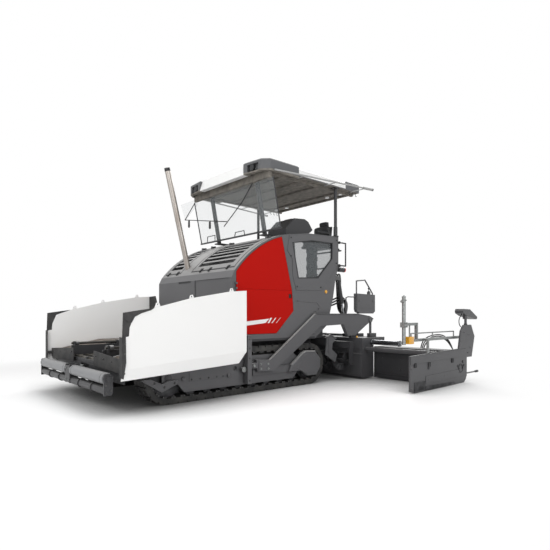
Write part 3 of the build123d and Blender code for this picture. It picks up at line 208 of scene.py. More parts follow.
def raised(tree: Tree, height: Socket, strength: float, distance: float,
           edge: Socket | None = None, invert: bool = False) -> Socket:
    """Normal of a raised pattern.

    Args:
        tree: Node tree.
        height: Output with the pattern's height.
        strength: Share of the pattern that shows.
        distance: Its height in metres.
        edge: Normal that rounds the edges, or None.
        invert: True if the pattern's low parts stand out.

    Returns:
        The normal's output.
    """
    inputs = {"Height": height, "Strength": strength, "Distance": distance}
    if edge:
        inputs["Normal"] = edge
    return add_node(tree, "ShaderNodeBump", inputs, invert=invert).outputs["Normal"]


def principled(tree: Tree, inputs: dict) -> Socket:
    """The general surface shader with some of its inputs set."""
    return add_node(tree, "ShaderNodeBsdfPrincipled", inputs).outputs["BSDF"]


# ---------------------------------------------------------------- finishes
@dataclass(frozen=True)
class Finish:
    """A surface finish, made once and shared by the pieces that have it.

    The slot is the record's material slot that its pieces belong to.
    """

    name: str
    slot: str

    def build(self, tree: Tree, place: Socket) -> Socket:
        """Builds the shader and returns its output.

        Args:
            tree: The material's node tree.
            place: Object coordinates in metres.

        Returns:
            The shader's output socket.
        """
        raise NotImplementedError

    def material(self) -> bpy.types.Material:
        """The finish as a material, built the first time it is asked for."""
        known = bpy.data.materials.get(self.name)
        if known:
            return known
        made = bpy.data.materials.new(self.name)
        made.use_nodes = True
        tree = made.node_tree
        tree.nodes.clear()
        place = add_node(tree, "ShaderNodeTexCoord").outputs["Object"]
        add_node(tree, "ShaderNodeOutputMaterial", {"Surface": self.build(tree, place)})
        return made

    def put_on(self, *pieces: Piece) -> None:
        """Gives the pieces this finish alone."""
        for piece in pieces:
            piece.data.materials.clear()
            piece.data.materials.append(self.material())


@dataclass(frozen=True)
class SprayedPaint(Finish):
    """Two-pack paint sprayed on steel sheet and cured.

    It gives the eye a closed, even colour with a soft broad highlight, a faint
    orange-peel waviness, a paler tone where the panels face up that is partly dust and
    partly a painted highlight, and painted shade darkening corners and creases.
    """

    colour: str = "#5a5a5c"
    dust: str = "#8b8985"
    roughness: float = 0.38
    peel_mm: float = 9.0
    clouding: float = 0.10
    edge_mm: float = 5.0
    gloss: float = 0.25
    coat: float = 0.06
    # Share of the paler tone on faces that point up: partly dust, partly a painted highlight.
    film: float = 0.22
    # Strength and colour of the painted shade that darkens corners and creases.
    grime: float = 0.55
    grime_colour: str = "#1d1b19"
    cloud_mm: float = 650.0
    corner_reach: float = 0.07

    def build(self, tree: Tree, place: Socket) -> Socket:
        """See Finish.build. The real peel is 1 to 2 mm and is drawn coarser to show."""
        cloud = noise(tree, place, self.cloud_mm, 5.0, 0.62)
        facing = add_node(tree, "ShaderNodeNewGeometry").outputs["Normal"]
        up = add_node(tree, "ShaderNodeSeparateXYZ", {"Vector": facing}).outputs["Z"]
        settled = maths(tree, "MULTIPLY", cloud, spread(tree, up, (-0.2, 1.0), (0.25, 1.0)))
        patches = spread(tree, settled, (0.30, 0.75), (0.0, self.clouding))
        # Faces that point up are mixed towards the dust colour: partly settled dust, partly a
        # painted highlight where top faces catch the overhead light.
        level = spread(tree, up, (0.35, 1.0), (0.0, self.film), "SMOOTHSTEP")
        dusted = mixed(tree, maths(tree, "MAXIMUM", patches, level), linear(self.colour),
                       linear(self.dust))
        # Painted shade: corners, creases and gaps between parts, found by ambient occlusion, are
        # darkened towards a near-black brown.
        corner = add_node(tree, "ShaderNodeAmbientOcclusion", {"Distance": self.corner_reach},
                          samples=4)
        painted_shade_share = spread(tree, corner.outputs["AO"], (0.25, 0.85), (self.grime, 0.0))
        peel = noise(tree, place, self.peel_mm, 1.0)
        return principled(tree, {
            "Base Color": mixed(tree, painted_shade_share, dusted, linear(self.grime_colour)),
            "Roughness": spread(tree, cloud, (0.3, 0.7),
                                (self.roughness - 0.05, self.roughness + 0.07)),
            "Normal": raised(tree, peel, 0.06, 0.002, rounded(tree, self.edge_mm * MM)),
            "Specular IOR Level": self.gloss, "Coat Weight": self.coat, "Coat Roughness": 0.18})


@dataclass(frozen=True)
class WingPaint(SprayedPaint):
    """White paint of a hopper wing, scoured to bare steel along its hinge rod.

    It gives the eye a clean white sheet with a dark, oily rod along its inner edge.
    """

    hinge_x: float = 0.700
    hinge_z: float = 0.820
    reach: float = 0.062
    steel: str = "#3c3a37"

    def build(self, tree: Tree, place: Socket) -> Socket:
        """See Finish.build. The rod is found by its distance from the hinge line."""
        paint = super().build(tree, place)
        axes = add_node(tree, "ShaderNodeSeparateXYZ", {"Vector": place})
        near = add_node(tree, "ShaderNodeCombineXYZ",
                        {"X": maths(tree, "ABSOLUTE", axes.outputs["X"]), "Y": axes.outputs["Z"]})
        away = add_node(tree, "ShaderNodeVectorMath",
                        {0: near.outputs["Vector"], 1: (self.hinge_x, self.hinge_z, 0.0)},
                        operation="DISTANCE")
        bare = principled(tree, {"Base Color": linear(self.steel), "Metallic": 0.5,
                                 "Roughness": 0.5})
        return either(tree, maths(tree, "LESS_THAN", away.outputs["Value"], self.reach), paint,
                      bare)


@dataclass(frozen=True)
class RoofTrim(SprayedPaint):
    """Grey moulded corners above a dark lined ceiling.

    It gives the eye mid-grey caps at the roof's corners and a dark, worn underside.
    """

    ceiling_z: float = 3.772
    lining: str = "#6d6964"
    lining_worn: str = "#8a857d"
    felt_mm: float = 90.0

    def build(self, tree: Tree, place: Socket) -> Socket:
        """See Finish.build. The lining starts at the height of the ceiling."""
        paint = super().build(tree, place)
        height = add_node(tree, "ShaderNodeSeparateXYZ", {"Vector": place}).outputs["Z"]
        felt = ramp(tree, noise(tree, place, self.felt_mm, 5.0),
                    ((0.35, self.lining), (0.72, self.lining_worn)))
        dark = principled(tree, {"Base Color": felt, "Roughness": 0.8,
                                 "Specular IOR Level": 0.15})
        return either(tree, maths(tree, "LESS_THAN", height, self.ceiling_z), paint, dark)


@dataclass(frozen=True)
class CastSteel(Finish):
    """Sand-cast or rolled steel parts, painted thinly or oiled.

    It gives the eye a dark, slightly metallic grain with dull and bright patches.
    """

    colour: str = "#3a3b3d"
    bright: str = "#6d6d6c"
    metallic: float = 0.55
    roughness: float = 0.52
    grain_mm: float = 12.0
    patch_mm: float = 140.0
    edge_mm: float = 4.0

    def build(self, tree: Tree, place: Socket) -> Socket:
        """See Finish.build. Sand grain is under 1 mm and is drawn coarser to show."""
        grain = noise(tree, place, self.grain_mm, 4.0, 0.7)
        patch = noise(tree, place, self.patch_mm, 3.0)
        return principled(tree, {
            "Base Color": ramp(tree, patch, ((0.35, self.colour), (0.72, self.bright))),
            "Metallic": self.metallic,
            "Roughness": spread(tree, patch, (0.3, 0.7),
                                (self.roughness + 0.1, self.roughness - 0.12)),
            "Normal": raised(tree, grain, 0.35, 0.003, rounded(tree, self.edge_mm * MM))})


@dataclass(frozen=True)
class BareMetal(Finish):
    """Metal left bare: drawn stainless pipe, hard-chromed rod or zinc-dipped steel.

    It gives the eye a clean metallic sheen, broken along the drawing direction for
    pipe and rod, and into spangles for zinc.
    """

    colour: str = "#c9c6c1"
    second: str = "#a39a90"
    roughness: float = 0.28
    pattern_mm: float = 40.0
    stretch: Point = (1.0, 1.0, 1.0)
    edge_mm: float = 3.0

    def build(self, tree: Tree, place: Socket) -> Socket:
        """See Finish.build. Spangles and draw lines are drawn coarser than real to show."""
        drawn = add_node(tree, "ShaderNodeMapping", {"Vector": place, "Scale": self.stretch})
        streak = noise(tree, drawn.outputs["Vector"], self.pattern_mm, 4.0, 0.6)
        return principled(tree, {
            "Base Color": ramp(tree, streak, ((0.35, self.second), (0.62, self.colour))),
            "Metallic": 1.0,
            "Roughness": spread(tree, streak, (0.3, 0.7),
                                (self.roughness + 0.08, self.roughness - 0.05)),
            "Normal": rounded(tree, self.edge_mm * MM)})


@dataclass(frozen=True)
class MouldedRubber(Finish):
    """Filled rubber pressed in a mould, or soft black plastic.

    It gives the eye a deep matt black, greyed by a film of dust, with a fine pitted grain.
    """

    colour: str = "#1b1b1c"
    dusted: str = "#3b3a38"
    roughness: float = 0.72
    grain_mm: float = 8.0
    film_mm: float = 180.0
    edge_mm: float = 4.0

    def build(self, tree: Tree, place: Socket) -> Socket:
        """See Finish.build. The real pits are under 1 mm and are drawn coarser to show."""
        grain = add_node(tree, "ShaderNodeTexVoronoi",
                         {"Vector": place, "Scale": cycles_per_metre(self.grain_mm)})
        film = noise(tree, place, self.film_mm, 5.0, 0.65)
        return principled(tree, {
            "Base Color": ramp(tree, film, ((0.38, self.colour), (0.72, self.dusted))),
            "Roughness": self.roughness,
            "Normal": raised(tree, grain.outputs["Distance"], 0.25, 0.0015,
                             rounded(tree, self.edge_mm * MM))})


@dataclass(frozen=True)
class SafetyGlass(Finish):
    """Laminated flat glass, clear or grey.

    It gives the eye what is behind it, a faint tint, and a clean reflection that
    strengthens at a low angle.
    """

    tint: str = "#2c3133"
    cover: float = 0.2
    roughness: float = 0.04
    smudge_mm: float = 220.0

    def build(self, tree: Tree, place: Socket) -> Socket:
        """See Finish.build. The smudges are hand-sized, as on a wiped pane."""
        smudge = noise(tree, place, self.smudge_mm, 3.0)
        return principled(tree, {
            "Base Color": linear(self.tint), "Alpha": self.cover, "Specular IOR Level": 0.9,
            "Roughness": spread(tree, smudge, (0.4, 0.8),
                                (self.roughness, self.roughness + 0.10))})


@dataclass(frozen=True)
class GrainedVinyl(Finish):
    """Vinyl-coated fabric with an embossed leather grain, over foam.

    It gives the eye a dull black with small soft glints where the grain turns.
    """

    colour: str = "#1d1e20"
    worn: str = "#2b2c2f"
    grain_mm: float = 9.0
    patch_mm: float = 120.0

    def build(self, tree: Tree, place: Socket) -> Socket:
        """See Finish.build. Real grain is 1 mm wide and is drawn coarser to show."""
        grain = add_node(tree, "ShaderNodeTexVoronoi",
                         {"Vector": place, "Scale": cycles_per_metre(self.grain_mm)},
                         feature="DISTANCE_TO_EDGE")
        patch = noise(tree, place, self.patch_mm, 3.0)
        return principled(tree, {
            "Base Color": ramp(tree, patch, ((0.4, self.colour), (0.7, self.worn))),
            "Roughness": 0.55, "Sheen Weight": 0.1,
            "Normal": raised(tree, grain.outputs["Distance"], 0.3, 0.001)})


@dataclass(frozen=True)
class TreadPlate(Finish):
    """Steel walkway plate rolled with crossed raised lozenges and painted.

    It gives the eye a dark floor that glints in a regular small pattern.
    """

    colour: str = "#4c4d4f"
    scuffed: str = "#6a6a6a"
    lozenge_mm: float = 34.0
    patch_mm: float = 300.0

    def build(self, tree: Tree, place: Socket) -> Socket:
        """See Finish.build. The lozenges are at their real spacing."""
        turned = add_node(tree, "ShaderNodeMapping",
                          {"Vector": place, "Rotation": (0.0, 0.0, math.radians(45))})
        weave = add_node(tree, "ShaderNodeTexBrick",
                         {"Vector": turned.outputs["Vector"],
                          "Scale": cycles_per_metre(self.lozenge_mm), "Mortar Size": 0.16,
                          "Mortar Smooth": 0.6, "Brick Width": 1.0, "Row Height": 0.5})
        patch = noise(tree, place, self.patch_mm, 4.0)
        return principled(tree, {
            "Base Color": ramp(tree, patch, ((0.35, self.colour), (0.75, self.scuffed))),
            "Roughness": 0.5,
            "Normal": raised(tree, weave.outputs["Fac"], 0.8, 0.003, invert=True)})


@dataclass(frozen=True)
class LampGlass(Finish):
    """Moulded lens with fine vertical prisms, clear or coloured.

    It gives the eye bright vertical bars over a pale or coloured body.
    """

    colour: str = "#d7dadb"
    prism_mm: float = 14.0
    waves_per_cycle: float = 6.3

    def build(self, tree: Tree, place: Socket) -> Socket:
        """See Finish.build. Prisms are 4 mm apart and are drawn coarser to show."""
        scale = cycles_per_metre(self.prism_mm) / self.waves_per_cycle
        bars = add_node(tree, "ShaderNodeTexWave",
                        {"Vector": place, "Scale": scale, "Distortion": 0.4},
                        bands_direction="DIAGONAL")
        return principled(tree, {
            "Base Color": linear(self.colour), "Roughness": 0.12, "Coat Weight": 0.6,
            "Normal": raised(tree, bars.outputs["Fac"], 0.5, 0.002)})


# On the grey paint the pale dust colour and strong film paint a highlight on the top faces, over a
# little real dust.
GREY_PAINT = SprayedPaint("grey_sprayed_paint", "grey_paint", colour="#5e5e60", dust="#bdbcba",
                          film=0.85)
DARK_PAINT = SprayedPaint("dark_grey_sprayed_paint", "dark_paint", colour="#3c3c3e",
                          dust="#6d6c69")
MID_PAINT = SprayedPaint("mid_grey_sprayed_paint", "grey_paint", colour="#505052", dust="#7b7975")
LIGHT_PAINT = SprayedPaint("light_grey_sprayed_paint", "grey_paint", colour="#a4a4a3",
                           dust="#8f8d89")
WHITE_PAINT = SprayedPaint("white_sprayed_paint", "white_paint", colour="#efefee",
                           dust="#cfccc6", roughness=0.30, clouding=0.05, film=0.05, grime=0.25)
RED_PAINT = SprayedPaint("red_sprayed_paint", "red_paint", colour="#b5150e", dust="#9c2a21",
                         roughness=0.36, clouding=0.03, gloss=0.06, coat=0.0, film=0.05)
ROLLER_STEEL = SprayedPaint("rolled_grey_paint", "grey_paint", colour="#808183", dust="#8f8d89",
                            roughness=0.36, clouding=0.22)
WHITE_FILM = SprayedPaint("white_vinyl_film", "white_paint", colour="#f1f1f0", dust="#d5d2cd",
                          roughness=0.26, clouding=0.03, peel_mm=30.0)
WING_PAINT = WingPaint("white_wing_paint", "white_paint", colour="#f1f1f0", dust="#cfccc6",
                       roughness=0.32, clouding=0.04, film=0.05, grime=0.25)
ROOF_TRIM = RoofTrim("grey_roof_trim", "grey_paint", colour="#5f6062")
BLACK_IRON = CastSteel("oiled_cast_steel", "cast_parts", colour="#232325", bright="#48484a")
WORN_STEEL = CastSteel("worn_rolled_steel", "cast_parts", colour="#57544f", bright="#8c877e",
                       metallic=0.8, roughness=0.42)
BOLT_STEEL = CastSteel("blackened_bolt_steel", "cast_parts", colour="#3b3c3d", bright="#5b5b5a",
                       metallic=0.4, roughness=0.45)
LINER_STEEL = CastSteel("worn_hopper_liner", "cast_parts", colour="#5a5149", bright="#7b6e61",
                        metallic=0.5, roughness=0.5, grain_mm=18.0)
STAINLESS = BareMetal("drawn_stainless_pipe", "stainless", colour="#a8a39e", second="#989089",
                      roughness=0.36, pattern_mm=90, stretch=(1.0, 1.0, 0.2))
CHROME = BareMetal("hard_chromed_rod", "chrome", colour="#a3a5a8", second="#86898d",
                   roughness=0.18, pattern_mm=20, stretch=(0.2, 1.0, 1.0))
ZINC = BareMetal("zinc_dipped_steel", "zinc_steel", colour="#9a9c9b", second="#7f8281",
                 roughness=0.46, pattern_mm=18)
TRACK_RUBBER = MouldedRubber("moulded_track_rubber", "track_rubber", colour="#1c1c1d",
                             dusted="#43423f")
FLAP_RUBBER = MouldedRubber("reinforced_flap_rubber", "flap_rubber", colour="#262627",
                            dusted="#424140")
BLACK_PLASTIC = MouldedRubber("moulded_black_plastic", "dark_paint", colour="#17181a",
                              dusted="#26272a", roughness=0.5)
HOSE = MouldedRubber("braided_hose_rubber", "flap_rubber", colour="#141415", dusted="#2c2b2a",
                     roughness=0.55, grain_mm=5.0)
CLEAR_GLASS = SafetyGlass("clear_laminated_glass", "clear_glass", tint="#b9c0c2", cover=0.12)
GREY_GLASS = SafetyGlass("grey_laminated_glass", "clear_glass", tint="#5b6164", cover=0.42)
SCREEN_GLASS = SafetyGlass("dark_display_glass", "clear_glass", tint="#0d1113", cover=1.0)
VINYL = GrainedVinyl("grained_seat_vinyl", "seat_cover")
WALKWAY = TreadPlate("rolled_walkway_plate", "grey_paint")
CLEAR_LENS = LampGlass("moulded_clear_lens", "lamp_glass")
AMBER_LENS = LampGlass("moulded_amber_lens", "lamp_glass", colour="#dfa01a")
RED_LENS = LampGlass("moulded_red_lens", "lamp_glass", colour="#c3151a")


# ---------------------------------------------------------------- pieces
def on_side(side: Side | None, point: Sequence[float]) -> Vector:
    """Moves a point or direction that is set out on the left.

    Args:
        side: The side that it goes to, or None to keep it.
        point: Its X, Y and Z.

    Returns:
        The moved point.
    """
    x, y, z = point
    return Vector((x * side.value if side else x, y, z))


def around(centre: Point, radius: float, steps: int, count: int) -> list[Point]:
    """Points on a circle that faces sideways.

    Args:
        centre: Its centre.
        radius: Its radius.
        steps: Equal steps in a full turn.
        count: Points to make.

    Returns:
        The points in order.
    """
    x, y, z = centre
    return [(x, y + radius * math.cos(t), z + radius * math.sin(t))
            for t in (at * math.tau / steps for at in range(count))]


def settle(data: bpy.types.Mesh, name: str, finish: Finish, body: str, side: Side | None,
           slot: str) -> Piece:
    """Makes a mesh into a piece with its finish and the body that it rides on.

    Args:
        data: The mesh.
        name: The piece's name.
        finish: Its finish.
        body: The CAD body, without its side where it has one.
        side: The piece's side, or None.
        slot: The record's material slot, or nothing for the finish's own; not used.

    Returns:
        The piece.
    """
    slot = slot or finish.slot
    if side and body not in WHOLE_BODIES:
        body = f"{body}_{side.tag}"
    piece = bpy.data.objects.new(name, data)
    bpy.context.scene.collection.objects.link(piece)
    finish.put_on(piece)
    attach(piece, body)
    return piece


def tube(name: str, points: Sequence[Point], radius: float, finish: Finish,
         body: str = "chassis", side: Side | None = None, smooth: bool = True) -> Piece:
    """A round tube or fixed hose through a run of points.

    Args:
        name: The piece's full name.
        points: Points of the run.
        radius: Radius of the tube.
        finish: Its finish.
        body: The CAD body, without its side where it has one.
        side: The side that X counts outward on, or None for plain X.
        smooth: True for a smooth spline, False for straight runs.

    Returns:
        The tube as a mesh.
    """
    curve = bpy.data.curves.new(name, "CURVE")
    curve.dimensions = "3D"
    curve.bevel_depth = radius
    curve.bevel_resolution = 3
    curve.use_fill_caps = True
    curve.resolution_u = 6
    spline = curve.splines.new("NURBS" if smooth else "POLY")
    spline.points.add(len(points) - 1)
    for knot, point in zip(spline.points, points):
        knot.co = (*on_side(side, point), 1.0)
    if smooth:
        spline.order_u = 3
        spline.use_endpoint_u = True
    shaped = bpy.data.objects.new(name + "_curve", curve)
    bpy.context.scene.collection.objects.link(shaped)
    bpy.context.view_layer.update()
    data = bpy.data.meshes.new_from_object(shaped.evaluated_get(
        bpy.context.evaluated_depsgraph_get()))
    bpy.data.objects.remove(shaped)
    data.name = name
    for face in data.polygons:
        face.use_smooth = True
    return settle(data, name, finish, body, side, "")


class Shape:
    """A piece in the making, built in mesh code. With a side, X counts outward on it."""

    def __init__(self, side: Side | None = None) -> None:
        """Starts an empty shape on a side, or in plain X."""
        self.side = side
        self.mesh = bmesh.new()

    def skin(self, rows: Sequence[Sequence[Vector]], joined: bool = False) -> "Shape":
        """Adds the faces between rows of corners.

        Args:
            rows: Rings with equal corner counts, in plain X.
            joined: True to join the last ring to the first, False to cap both.

        Returns:
            The shape itself.
        """
        rings = [[self.mesh.verts.new(corner) for corner in row] for row in rows]
        if joined:
            rings.append(rings[0])
        else:
            self.mesh.faces.new(rings[0])
            self.mesh.faces.new(rings[-1])
        for first, second in zip(rings, rings[1:]):
            for at, corner in enumerate(first):
                after = (at + 1) % len(first)
                self.mesh.faces.new((corner, first[after], second[after], second[at]))
        return self

    def prism(self, outline: Sequence[Sequence[float]], depth: Sequence[float]) -> "Shape":
        """Adds a closed prism from a flat outline and the step to its other face."""
        low = [on_side(self.side, corner) for corner in outline]
        step = on_side(self.side, depth)
        return self.skin([low, [corner + step for corner in low]])

    def plate(self, x: float, outline: Outline, depth: float) -> "Shape":
        """Adds a plate on a side face at X, outlined in Y and Z."""
        return self.prism([(x, y, z) for y, z in outline], (depth, 0.0, 0.0))

    def box(self, low: Point, high: Point) -> "Shape":
        """Adds a closed box between two corners."""
        (ax, ay, az), (bx, by, bz) = low, high
        return self.prism(((ax, ay, az), (bx, ay, az), (bx, by, az), (ax, by, az)),
                          (0.0, 0.0, bz - az))

    def turned(self, start: Sequence[float], axis: Sequence[float], profile: Outline,
               sides: int = 20) -> "Shape":
        """Adds a turned solid.

        Args:
            start: Point on the axis that the profile's distances are counted from.
            axis: Direction of the axis.
            profile: Distance along the axis and radius of each ring.
            sides: Corners of a ring.

        Returns:
            The shape itself.
        """
        along = on_side(self.side, axis).normalized()
        across = along.orthogonal().normalized()
        third = along.cross(across)
        origin = on_side(self.side, start)
        turns = [math.tau * corner / sides for corner in range(sides)]
        spokes = [across * math.cos(turn) + third * math.sin(turn) for turn in turns]
        return self.skin([[origin + along * distance + spoke * radius for spoke in spokes]
                          for distance, radius in profile])

    def bolts(self, seats: Sequence[Point], outward: Point, width: float) -> "Shape":
        """Adds hexagon bolt heads on their washers.

        Args:
            seats: Points on the surface, one a bolt.
            outward: Direction that the heads stand out in.
            width: Size across a head's corners.

        Returns:
            The shape itself.
        """
        radius = width / 2
        washer = ((0.0, radius * 1.35), (width * 0.10, radius * 1.35))
        head = ((width * 0.10, radius), (width * 0.55, radius), (width * 0.62, radius * 0.8))
        for seat in seats:
            self.turned(seat, outward, washer, 12).turned(seat, outward, head, 6)
        return self

    def piece(self, name: str, finish: Finish, body: str = "chassis", slot: str = "",
              smooth_angle: float = 35.0) -> Piece:
        """Turns the shape into a piece that rides on a body.

        Args:
            name: The piece's name, without its side where the shape has one.
            finish: Its finish.
            body: The CAD body, without its side where it has one.
            slot: The record's material slot, or nothing for the finish's own.
            smooth_angle: Edges sharper than this many degrees stay crisp.

        Returns:
            The piece.
        """
        bmesh.ops.recalc_face_normals(self.mesh, faces=self.mesh.faces)
        limit = math.radians(smooth_angle)
        for face in self.mesh.faces:
            face.smooth = True
        for edge in self.mesh.edges:
            if len(edge.link_faces) != 2 or edge.calc_face_angle(0.0) > limit:
                edge.smooth = False
        full_name = f"{name}_{self.side.tag}" if self.side else name
        data = bpy.data.meshes.new(full_name)
        self.mesh.to_mesh(data)
        self.mesh.free()
        return settle(data, full_name, finish, body, self.side, slot)


class Assembly:
    """A sub-assembly: it dresses its solids and builds its small fittings."""

    solids: ClassVar[dict[Finish, str]] = {}

    def build(self, side: Side) -> Iterator[Piece]:
        """Makes the pieces that each side has.

        Args:
            side: The side that they are for.

        Returns:
            The pieces, one after another.
        """
        yield from ()

    def build_once(self) -> Iterator[Piece]:
        """Makes the pieces that the machine has once."""
        yield from ()

    def run(self) -> None:
        """Dresses, builds and reports. A star in a solid's name stands for each side."""
        for finish, words in self.solids.items():
            names = [word.replace("*", side.tag) for word in words.split()
                     for side in (Side if "*" in word else (Side.LEFT,))]
            finish.put_on(*(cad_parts[name] for name in names))
        made = [piece for side in Side for piece in self.build(side)]
        made += self.build_once()
        LOG.info("%s: %s", type(self).__name__, ", ".join(p.name for p in made) or "solids only")


# ---------------------------------------------------------------- sub-assemblies
@dataclass
class Undercarriage(Assembly):
    """Tracks, their beams and wheels, and the drive covers."""

    solids: ClassVar = {TRACK_RUBBER: "track_*", GREY_PAINT: "track_beam_* drive_covers",
                        BLACK_IRON: "track_wheels"}
    idler_y: float = -2.385
    sprocket_y: float = 0.515
    loop_radius: float = 0.354
    pin_radius: float = 0.278
    wheel_z: float = 0.380
    shoes: int = 52
    link_face: float = 1.186
    pad_x: tuple[float, float] = (0.965, 1.115)
    ground_run_z: float = 0.05

    def loop_point(self, share: float, radius: float) -> tuple[float, float, float]:
        """Y, Z and outward angle on the shoes' loop, at another radius.

        Args:
            share: Shoes from the idler's foot to the point, with a part of one.
            radius: Distance from the wheels' centre line.

        Returns:
            Y, Z and the angle that faces outward.
        """
        straight = self.sprocket_y - self.idler_y
        arc = math.pi * self.loop_radius
        distance = share * (2 * (straight + arc) / self.shoes) % (2 * (straight + arc))
        if distance < straight:
            return self.idler_y + distance, self.wheel_z - radius, -math.pi / 2
        if distance < straight + arc:
            angle = (distance - straight) / self.loop_radius - math.pi / 2
            centre = self.sprocket_y
        elif distance < 2 * straight + arc:
            return (self.sprocket_y - (distance - straight - arc), self.wheel_z + radius,
                    math.pi / 2)
        else:
            angle = (distance - 2 * straight - arc) / self.loop_radius + math.pi / 2
            centre = self.idler_y
        return centre + radius * math.cos(angle), self.wheel_z + radius * math.sin(angle), angle

    def chain_pins(self, side: Side) -> Piece:
        """Bright ends of the chain's pins, two a link."""
        shape = Shape(side)
        for shoe in range(self.shoes):
            for offset in (0.34, 0.66):
                y, z, _ = self.loop_point(shoe + offset, self.pin_radius)
                shape.turned((self.link_face, y, z), OUT,
                             ((0.0, 0.013), (0.006, 0.013), (0.009, 0.009)), 10)
        return shape.piece("chain_pins", BOLT_STEEL)

    def pad_bolts(self, side: Side) -> Piece:
        """Bolt heads in the pads, left off the run that stands on the ground."""
        shape = Shape(side)
        for shoe in range(self.shoes):
            y, z, angle = self.loop_point(shoe + 0.5, self.wheel_z - MM)
            if z >= self.ground_run_z:
                shape.bolts([(x, y, z) for x in self.pad_x],
                            (0.0, math.cos(angle), math.sin(angle)), 0.026)
        return shape.piece("pad_bolts", BOLT_STEEL)

    def build(self, side: Side) -> Iterator[Piece]:
        """See Assembly.build."""
        yield self.chain_pins(side)
        yield self.pad_bolts(side)
        beam = [(1.181, y, z) for y in (-2.0, -1.85, -1.70, -1.55, -1.43) for z in (0.325, 0.495)]
        yield Shape(side).bolts(beam, OUT, 0.020).piece("track_beam_bolts", BOLT_STEEL)
        guard = [(1.212, -2.615, 0.330), (1.212, -2.46, 0.262), (1.212, -2.30, 0.305)]
        yield Shape(side).bolts(guard, OUT, 0.026).piece("idler_guard_bolts", BOLT_STEEL)
        caps = Shape(side)
        for y, z in ((-2.140, 0.345), (-1.327, 0.320)):
            caps.turned((1.189, y, z), OUT, ((0.0, 0.030), (0.010, 0.030), (0.014, 0.024)))
        yield caps.piece("carrier_pin_caps", GREY_PAINT)


@dataclass
class Chassis(Assembly):
    """Frame, platform, tanks and tow rails."""

    solids: ClassVar = {DARK_PAINT: "chassis_frame platform tank engine_block hopper_base",
                        WORN_STEEL: "conveyor_slats", GREY_PAINT: "tow_rails"}
    rail_face: float = 1.295
    roller_face: float = 1.262
    hose_x: tuple[float, ...] = (0.945, 0.985, 1.025)
    hose_step: float = 0.040
    chain_x: tuple[float, ...] = (-0.622, 0.622, -0.018, 0.018)
    chain_links: int = 21
    link_pitch: float = 0.088

    def build(self, side: Side) -> Iterator[Piece]:
        """See Assembly.build."""
        rail = [(self.rail_face, -0.987, z) for z in (0.22, 0.58, 0.74, 0.89)]
        yield Shape(side).bolts(rail, OUT, 0.020).piece("tow_rail_bolts", BOLT_STEEL)
        cap = Shape(side)
        cap.turned((self.roller_face, -1.078, 0.405), OUT,
                   ((0.0, 0.044), (0.006, 0.044), (0.008, 0.024), (0.013, 0.024), (0.016, 0.016)),
                   24)
        cap.turned((1.290, -0.885, 0.450), OUT, ((0.0, 0.022), (0.004, 0.022), (0.007, 0.017)))
        yield cap.piece("guide_roller_cap", ZINC)
        for at, x in enumerate(self.hose_x):
            drop = self.hose_step * at
            run = [(1.076, 1.330 + drop, 1.990), (x + 0.02, 1.420 + drop, 2.120),
                   (x, 1.560 + drop / 2, 2.080), (x, 1.590, 1.700), (x, 1.600, 1.400 - drop),
                   (x, 1.740, 1.280 - drop), (x, 1.870 - drop / 2, 1.460),
                   (x, 1.760, 1.690 - drop), (x, 1.560, 1.620 - drop), (x, 1.250, 1.520 - drop),
                   (x, 1.018, 1.520 - drop)]
            yield tube(f"lift_hose_{side.tag}_{at + 1}", run, 0.017, HOSE, side=side)

    def build_once(self) -> Iterator[Piece]:
        """See Assembly.build_once."""
        cross = Shape()
        for side in Side:
            near, far = 0.160 * side.value, 1.400 * side.value
            cross.box((near, -3.132, 0.390), (far, -3.1195, 0.560))
            cross.box((near, -3.136, 0.390), (far, -3.132, 0.420))
        yield cross.piece("hopper_cross_plate", DARK_PAINT)
        chains = Shape()
        for x in self.chain_x:
            for link in range(self.chain_links):
                y = -3.09 + self.link_pitch * link
                chains.box((x - 0.007, y, 0.6205), (x + 0.007, y + 0.060, 0.638))
        yield chains.piece("conveyor_chains", WORN_STEEL)


